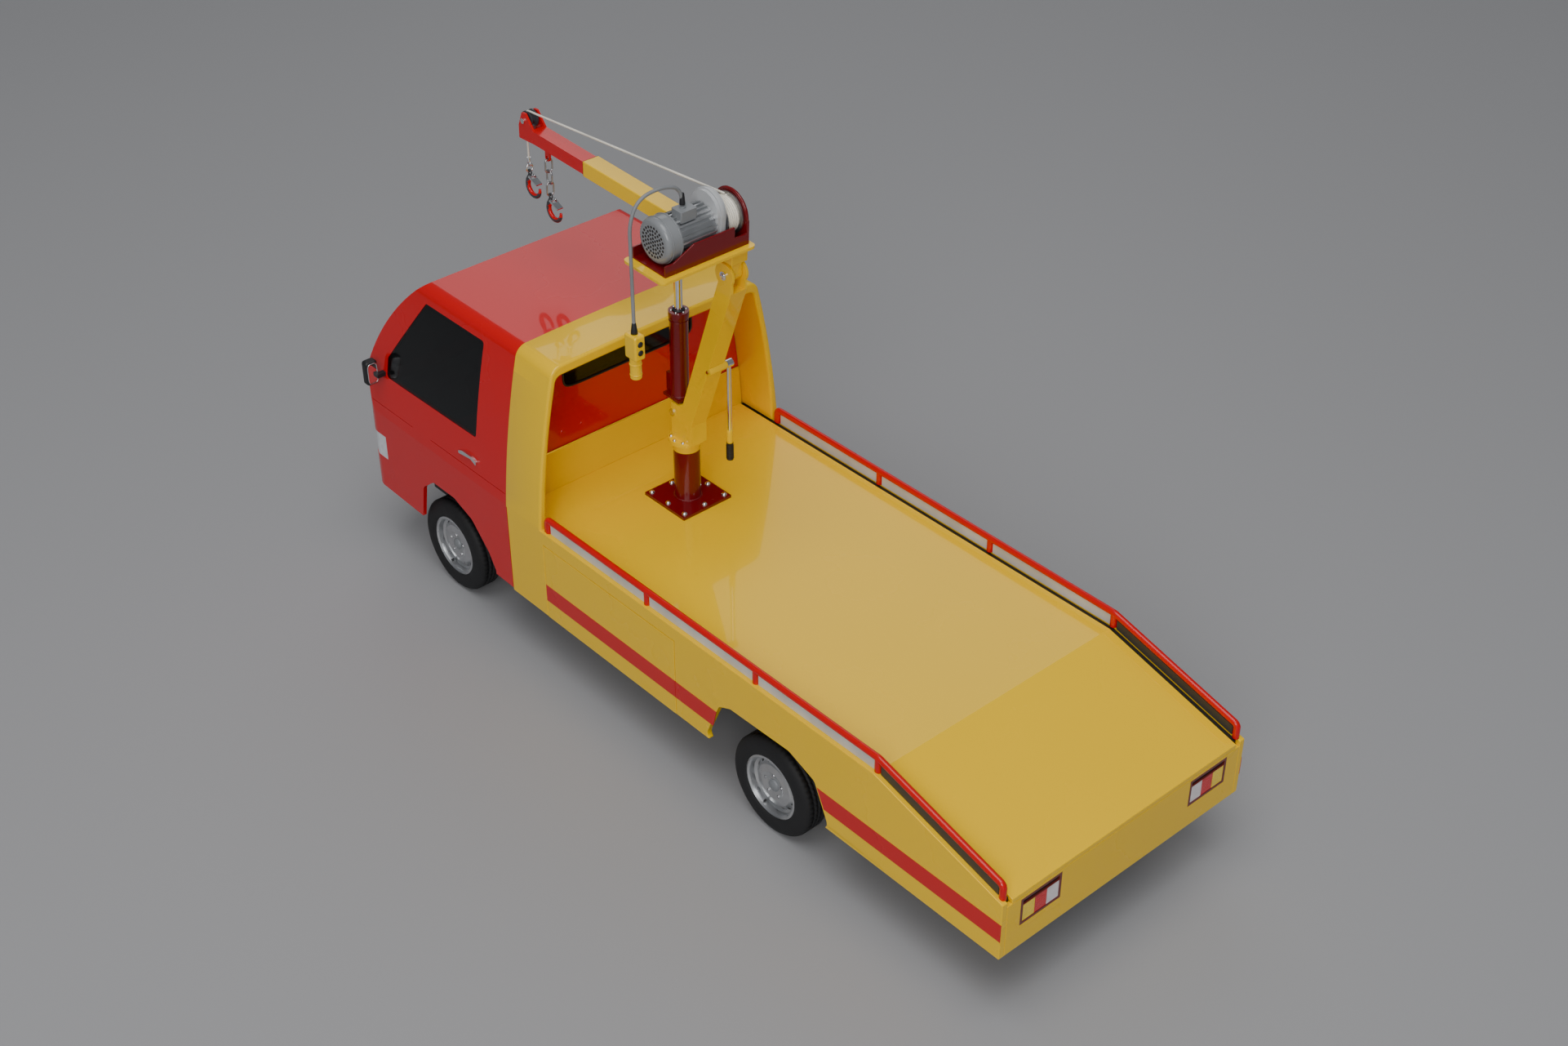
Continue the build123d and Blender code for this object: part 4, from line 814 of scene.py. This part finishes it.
def jack_details():
    """Gland ring with bolts at the jack's top, pump plugs, and a wiper round the rod."""
    foot = joint_place("jack_tilt")
    axis = joint_axis("jack_extend")
    top = foot + axis * 35.8 * MM
    side = Y
    other = axis.cross(side).normalized()
    bolts = []
    for i in range(6):
        angle = 2 * math.pi * (i + 0.5) / 6
        spot = top + (side * math.cos(angle) + other * math.sin(angle)) * 2.35 * MM
        bolts.append(dome(spot, axis, 0.42 * MM, 0.45 * MM, 14))
    mesh_from("jack_ring_bolts", *merged(bolts), CHROME, "jack_barrel", "bright_steel")
    wiper = turned([(1.95 * MM, 0), (1.95 * MM, 0.3 * MM), (1.5 * MM, 0.6 * MM), (1.42 * MM, 0.6 * MM),
                    (1.42 * MM, 0)], top, axis, 36)
    mesh_from("jack_rod_wiper", *wiper, BLACK, "jack_barrel", "black_plastic")
    bands = []
    for height in (6.0, 32.6):
        loop = [foot + axis * height * MM + (side * math.cos(a) + other * math.sin(a)) * 2.98 * MM
                for a in [2 * math.pi * i / 60 for i in range(60)]]
        bands.append(tube(loop, 0.16 * MM, 8, closed=True))
    mesh_from("jack_weld_beads", *merged(bands), DARK_RED, "jack_barrel", "dark_red_enamel")
    plugs = []
    for height in (7.4, 10.6):
        plugs.append(hexagon(foot + axis * height * MM + X * 4.98 * MM, X, 0.55 * MM, 0.5 * MM))
    mesh_from("pump_plugs", *merged(plugs), ZINC, "jack_barrel", "zinc_steel", smooth=False)


def weld_bead(place, axis, radius, thickness, count):
    """Round fillet weld with its ripples."""
    side = axis.orthogonal().normalized()
    other = axis.cross(side)
    points, radii = [], []
    for i in range(count * 4):
        angle = 2 * math.pi * i / (count * 4)
        points.append(place + (side * math.cos(angle) + other * math.sin(angle)) * radius)
        radii.append(thickness * (1 + 0.18 * math.cos(math.pi * i / 2)))
    return tube(points, thickness, 8, closed=True, radii=radii)


def mast_details():
    """Weld at the pillar's foot, pin caps at the jack's head and at the boom hinge."""
    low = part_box("crane_base")[0]
    slew = joint_place("crane_slew")
    foot = Vector((slew.x, slew.y, low.z + 1.05 * MM))
    bead = weld_bead(foot, Z, 4.3 * MM, 0.28 * MM, 40)
    mesh_from("pillar_weld", *bead, DARK_RED, "truck", "dark_red_enamel")
    pivot = joint_place("boom_luff")
    caps = []
    head = joint_place("jack_tilt") + joint_axis("jack_extend") * 62.36 * MM
    for side in (1, -1):
        caps.append(dome(head + Y * side * 2.38 * MM, Y * side, 0.95 * MM, 0.5 * MM, 24))
        caps.append(dome(pivot + Y * side * 3.5 * MM, Y * side, 1.0 * MM, 0.45 * MM, 24))
    boom_caps = merged([caps[0], caps[2]])
    mast_caps = merged([caps[1], caps[3]])
    mesh_from("jack_head_pin_caps", *boom_caps, CHROME, "crane_boom", "bright_steel")
    mesh_from("boom_hinge_caps", *mast_caps, CHROME, "crane_mast", "bright_steel")


def lever_details():
    """Knurled grip with a yellow stub at the pump lever's end."""
    low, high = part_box("lever_grip")
    middle = centre("lever_grip")
    grooves = []
    for i in range(7):
        z = low.z + (0.6 + 0.75 * i) * MM
        loop = [Vector((middle.x + 1.1 * MM * math.cos(a), middle.y + 1.1 * MM * math.sin(a), z))
                for a in [2 * math.pi * k / 36 for k in range(36)]]
        grooves.append(tube(loop, 0.16 * MM, 8, closed=True))
    mesh_from("lever_grip_ribs", *merged(grooves), BLACK, "pump_lever", "black_plastic")
    top = Vector((middle.x, middle.y, high.z))
    outline = [(0.95, 0), (1.0, 0.3), (1.0, 4.4), (0.9, 4.8), (0.74, 4.8)]
    collar = turned([(radius * MM, height * MM) for radius, height in outline], top, Z, 28)
    mesh_from("lever_stub", *collar, YELLOW, "pump_lever", "yellow_enamel")


# ================= surroundings =================
def area_light(name, place, target, size, size_y, power, colour=(1, 1, 1)):
    data = bpy.data.lights.new(name, "AREA")
    data.shape = "RECTANGLE"
    data.size = size
    data.size_y = size_y
    data.energy = power
    data.color = colour
    light = bpy.data.objects.new(name, data)
    bpy.context.scene.collection.objects.link(light)
    light.location = place
    light.rotation_mode = "QUATERNION"
    light.rotation_quaternion = (Vector(target) - Vector(place)).to_track_quat("-Z", "Y")


def surroundings():
    """Plain pale floor and soft studio light."""
    floor_material = new_material("studio_floor", (0.33, 0.33, 0.34), 0.55)
    vary_roughness(floor_material, 0.5, 0.6, 3)
    floor = mesh_from("floor", [(-6, -6, 0), (6, -6, 0), (6, 6, 0), (-6, 6, 0)], [(0, 1, 2, 3)],
                      floor_material, None, None, smooth=False)
    world = bpy.data.worlds.new("studio")
    world.use_nodes = True
    world.node_tree.nodes["Background"].inputs["Color"].default_value = (0.92, 0.95, 1.0, 1)
    world.node_tree.nodes["Background"].inputs["Strength"].default_value = 0.18
    bpy.context.scene.world = world
    area_light("deck_softbox", (0.95, -0.85, 0.95), (-0.02, 0, 0.05), 0.9, 0.55, 1.6)
    area_light("top_softbox", (-0.25, 0.3, 1.3), (0, 0, 0.05), 1.0, 1.0, 11)
    area_light("left_key", (-0.85, 1.0, 0.75), (0, 0, 0.08), 0.7, 0.7, 9)


make_camera()
control_cable()
dress_cad_nodes()
rope_winding()
rope_lines()
crane_hook("lifting_hook", "rope_hook", "hook_on_rope", True)
crane_hook("spare_hook", "chain_hook", "hook_on_chain", False)
make_wheels()
side_stripes()
tail_lamps()
skin = glass_finder()
wipers(skin)
lamp_details()
mirror_details()
window_seals()
front_plate()
winch_details()
cable_sleeves()
jack_details()
mast_details()
lever_details()
surroundings()
